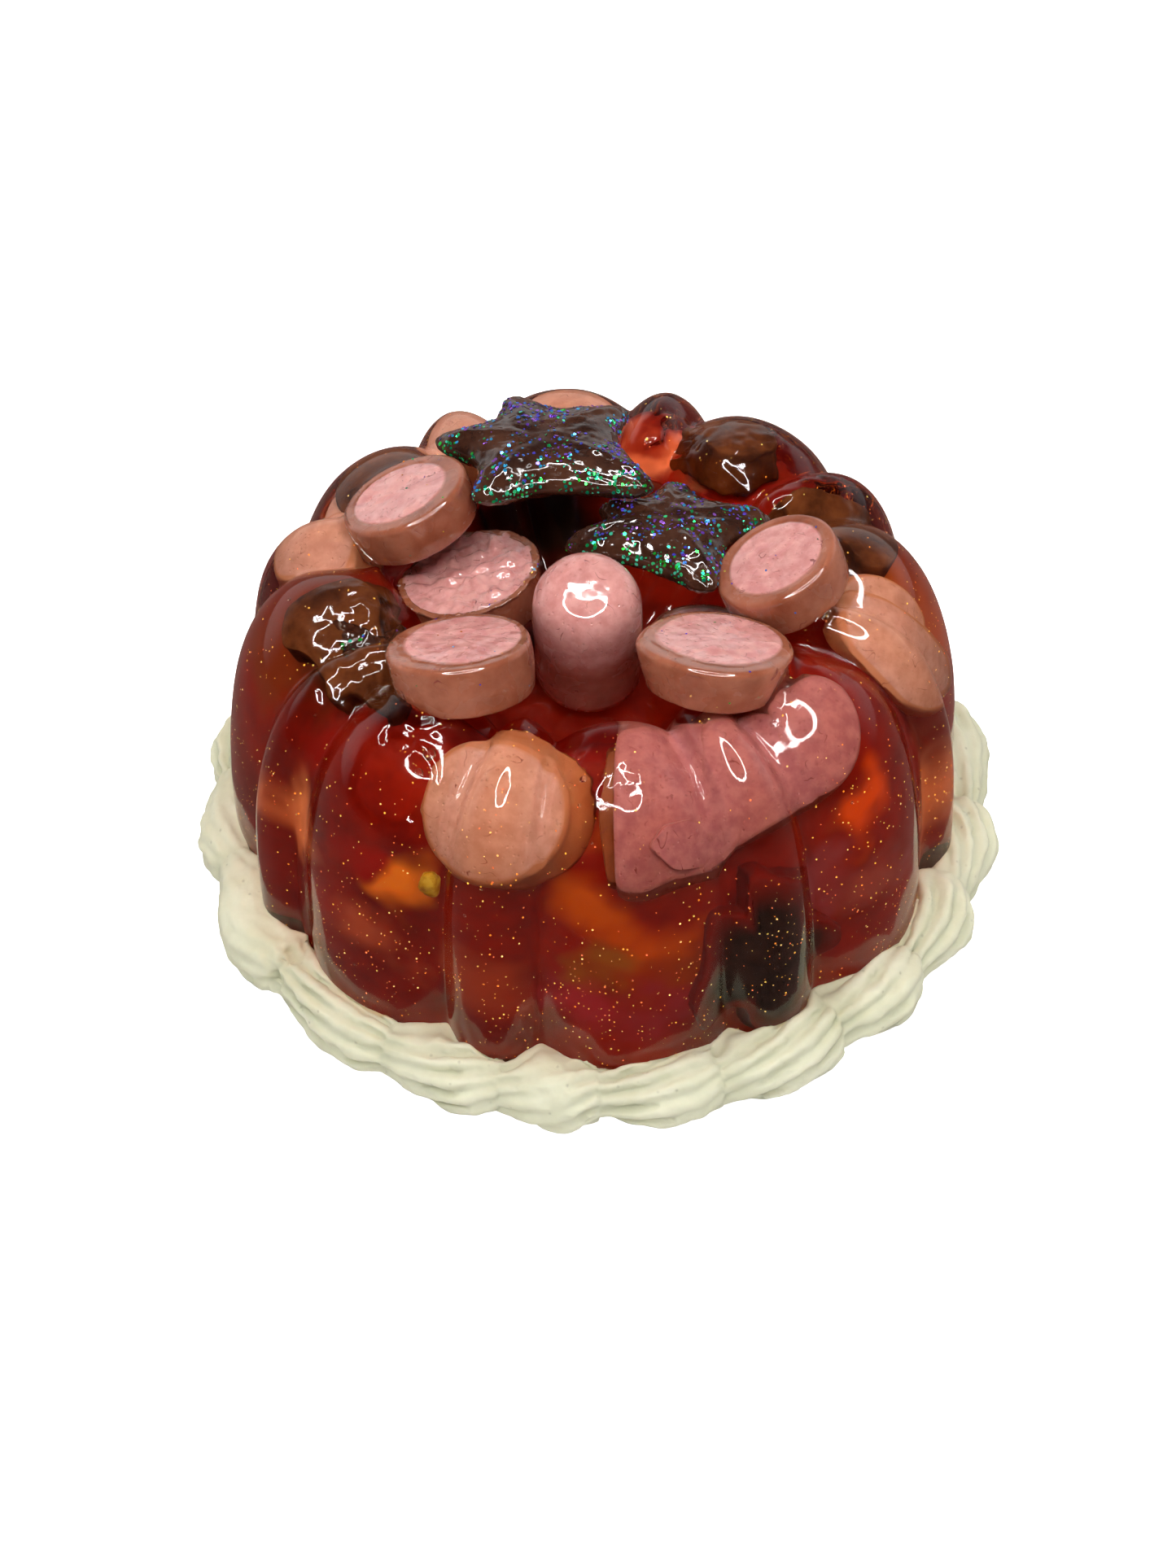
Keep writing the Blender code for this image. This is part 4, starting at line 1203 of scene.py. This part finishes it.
def border_section(angle, share, swell, blunt, sweep):
    """One section: from under the cream up the jelly's wall, over the ridges and back to the foot."""
    fan = np.linspace(FAN_TOP, FAN_FOOT, SECTION_STEPS)
    across = np.linspace(0, 1, SECTION_STEPS)
    twist = sweep * (share - 0.5) + 0.3 * math.sin(5 * angle)
    groove = np.abs(np.cos(math.pi * (RIDGES * across + twist))) ** 3.0
    smear = 0.55 + 0.75 * noise.noise((4.0 * angle, 2.0 * share, 3.0))
    groove = groove * (1 - 0.75 * blunt) * min(max(smear, 0.15), 1.0)
    valley = RIDGE_DEPTH * swell * groove
    radius = BORDER_RADIUS + (BEAD_REACH * swell - valley) * np.cos(fan)
    height = BORDER_HEIGHT + (BEAD_RISE * math.sqrt(swell) - valley) * np.sin(fan)
    height = np.maximum(height, 0.0)
    wall = wall_radius(height) - flute_cut(np.array(angle))
    reach_in = min(0.0, wall[0] - 0.0004 - radius[0]) * (1 - ease(across, 0.0, 0.35))
    radius = np.maximum(radius + reach_in, wall - 0.0003)
    foot = float(wall[-1] - 0.0003)
    radius = np.r_[foot, radius, (foot + radius[-1]) / 2]
    return radius, np.r_[0.0, height, 0.0], np.r_[0.0, groove, 0.0]


sections, crease_shades = [], []
for number, (start, end, full) in enumerate(bead_spans()):
    blunt = 1.0 if number < 2 else 0.0
    sweep = 1.5 + 0.7 * math.sin(2.3 * number)
    for step in range(BEAD_STEPS):
        share = step / BEAD_STEPS
        angle = start + (end - start) * share
        hump = math.sin(math.pi * share ** BEAD_SKEW)
        swell = NECK_SHARE + (full - NECK_SHARE) * hump ** 0.8
        radius, height, groove = border_section(angle, share, swell, blunt, sweep)
        sections.append(np.stack([radius * math.sin(angle), -radius * math.cos(angle), height], -1))
        # The painted shade mask: deep in each groove and at the narrow necks between shells.
        crease_shades.append(np.clip(groove * 0.8 + 0.3 * (1 - hump) ** 3, 0, 1))
sections, crease_shades = np.array(sections), np.array(crease_shades)
along, across = (np.roll(sections, -1, axis) - np.roll(sections, 1, axis) for axis in (0, 1))
square = np.cross(along, across)
square /= np.linalg.norm(square, axis=-1, keepdims=True).clip(1e-12)
out_way = sections - sections.mean(1, keepdims=True)
square *= np.sign((square * out_way).sum(-1, keepdims=True))
push = 0.00060 * lumps(sections, 0.0062) + 0.00040 * lumps(sections, 0.0026, 8.0)
push += 0.00012 * lumps(sections, 0.0010, 5.0)
angles = np.arctan2(sections[..., 0], -sections[..., 1])
torn = np.exp(-((angles - TORN_ANGLE) / 0.03) ** 2)
push += torn * (0.0018 * lumps(sections, 0.0019, 30.0) - 0.0009)
for middle, reach in HOLES:
    far = np.linalg.norm(sections - mm(*middle), axis=-1)
    push -= 0.0008 * (1 - ease(far, 0.3 * reach * MM, 1.5 * reach * MM))
push[:, [0, -1]] = 0
sections = sections + square * push[..., None]
sections[..., 2] = np.clip(sections[..., 2], 0, None)
sections[:, [0, -1], 2] = 0
faces = grid_faces(*sections.shape[:2], wrap_rows=True)
cream = new_piece("cream_rope", sections, faces, cream_finish, ["cream_border"])
bm = bmesh.new()
bm.from_mesh(cream.data)
bmesh.ops.recalc_face_normals(bm, faces=bm.faces)
bm.to_mesh(cream.data)
bm.free()
keep_values(cream, "crease_shade", crease_shades.ravel())
print("cream:", len(cream.data.polygons), "faces")

# %% [markdown]
# ## A mustard-coloured crumb
# One yellow chip shows beside the amber glow at the left. It is a small broken crumb, wholly sunk.

# %% The crumb
crumb_finish, tree, shader, here = new_finish("mustard_crumb", Roughness=0.5)
fill(shader, {"Base Color": mottled(tree, here, 900.0, (214, 170, 30), (240, 210, 70), 0.1)})
rows = np.array([[(1.7 * math.sin(t) * math.cos(a), 1.3 * math.sin(t) * math.sin(a), 2.4 * math.cos(t))
                  for a in np.arange(18) * math.tau / 18] for t in np.linspace(0.1, math.pi - 0.1, 12)])
rows = rows * (1 + 0.25 * lumps(rows, 1.1, 60.0))[..., None]
ringed_piece("mustard_crumb", rows * MM + mm(-23.8, -43.2, 34.6), crumb_finish, "jelly")
print("crumb:", rows.shape)

# %% [markdown]
# ## Light, floor and camera
# The highlights in the picture are thin white loops, so the light was a ring, almost straight above.
# A glowing ring that only gloss sees does the same here, and a thicker one, which gloss doesn't see,
# lights the matt surfaces. The picture is cut out on pure white, so the camera sees a white world and
# a white floor without a shadow. What gloss sees is set on its own: a bright band behind, which lays a
# pale sheen over the far lobes, a dark room in front, and a warm floor. The camera stands where the
# picture was taken from.

# %% World and floor
world = bpy.data.worlds.new("white_room")
scene.world = world
world.use_nodes = True
tree = world.node_tree
way = place(tree, "SeparateXYZ", {0: place(tree, "TexCoord").outputs["Generated"]}).outputs
soft_light = ramp(tree, way[2], 0.10, 0.60, 0.80, 0.26)
behind = sums(tree, "MULTIPLY", ramp(tree, way[1], -0.10, 0.50, 0.03, 0.70),
              ramp(tree, way[2], 0.25, 0.60, 1.0, 0.10))
rays = place(tree, "LightPath").outputs
first = sums(tree, "MULTIPLY", soft_light, sums(tree, "SUBTRACT", 1.0, rays["Is Glossy Ray"]))
bright = sums(tree, "ADD", first, sums(tree, "MULTIPLY", behind, rays["Is Glossy Ray"]))
fill(tree.nodes["Background"], {
    "Color": (1.0, 1.0, 1.0, 1.0), "Strength": sums(tree, "MAXIMUM", bright, rays["Is Camera Ray"])})

FLOOR_REACH, FLOOR_DROP = 3.0, 0.00005
floor_finish, tree, shader, here = new_finish(
    "pale_floor", Roughness=0.9, Emission_Color=(1.0, 1.0, 1.0, 1.0))
colour = use_group(tree, mottle, {
    "Place": here, "Scale": 3.0, "Edge": 0.3, "First": (0.80, 0.80, 0.80, 1.0),
    "Second": (0.84, 0.84, 0.835, 1.0)})["Colour"]
rays = place(tree, "LightPath").outputs
fill(shader, {"Base Color": mix_colours(tree, rays["Is Glossy Ray"], colour, (0.24, 0.14, 0.12, 1.0)),
              "Emission Strength": rays["Is Camera Ray"]})
corners = [(FLOOR_REACH * x, FLOOR_REACH * y, -FLOOR_DROP) for x, y in ((-1, -1), (1, -1), (1, 1), (-1, 1))]
floor = new_mesh("floor", corners, [(0, 1, 2, 3)], floor_finish)
print("floor:", 2 * FLOOR_REACH, "m across")

# %% The rings of light
RING_RADIUS, RING_TUBE = 0.38, 0.024
RING_CENTRE = (0.0, -0.15, 0.90)
LOOP_POWER, SOFT_POWER = 62.0, 16.5


def ring_of_light(name, tube_radius, power):
    """A glowing tube bent into a circle that faces the dessert."""
    finish = bpy.data.materials.new(name)
    finish.use_nodes = True
    tree = finish.node_tree
    glow = place(tree, "Emission", {"Color": (1, 1, 1, 1), "Strength": power})
    fill(tree.nodes["Material Output"], {"Surface": glow.outputs[0]})
    around, tube = np.arange(72) * math.tau / 72, np.arange(6) * math.tau / 6
    rows = np.array([[((RING_RADIUS + tube_radius * math.cos(t)) * math.cos(a),
                       (RING_RADIUS + tube_radius * math.cos(t)) * math.sin(a), tube_radius * math.sin(t))
                      for t in tube] for a in around])
    aim = np.array(Vector((0, 0, -1)).rotation_difference(-Vector(RING_CENTRE)).to_matrix())
    ring = new_mesh(name, rows @ aim.T + RING_CENTRE, grid_faces(72, 6, wrap_rows=True), finish)
    ring.visible_camera = False
    return ring


loop_ring = ring_of_light("loop_ring", RING_TUBE, LOOP_POWER)
loop_ring.visible_diffuse = False
soft_ring = ring_of_light("soft_ring", RING_TUBE * 1.6, SOFT_POWER)
soft_ring.visible_glossy = False

# %% The camera
EYE = Vector((0.0, -0.25814, 0.28922))
TARGET = Vector((-0.00135, 0.00555, 0.0))
ROLL = math.radians(-2.28)
PICTURE_HEIGHT, FOCAL_PIXELS = 1927, 2900
SENSOR_HEIGHT = 36.0
ahead = (TARGET - EYE).normalized()
level = ahead.cross(Vector((0, 0, 1))).normalized()
upright = level.cross(ahead)
side = level * math.cos(ROLL) + upright * math.sin(ROLL)
top = upright * math.cos(ROLL) - level * math.sin(ROLL)
camera = bpy.data.objects.new("camera", bpy.data.cameras.new("camera"))
scene.collection.objects.link(camera)
camera.matrix_world = Matrix((
    (side.x, top.x, -ahead.x, EYE.x), (side.y, top.y, -ahead.y, EYE.y), (side.z, top.z, -ahead.z, EYE.z),
    (0, 0, 0, 1)))
camera.data.sensor_fit = "VERTICAL"
camera.data.sensor_height = SENSOR_HEIGHT
camera.data.lens = SENSOR_HEIGHT * FOCAL_PIXELS / PICTURE_HEIGHT
camera.data.clip_start = 0.01
scene.camera = camera
scene.view_settings.view_transform = "Standard"
print("lens:", round(camera.data.lens, 1), "mm on a 36 mm high sensor")
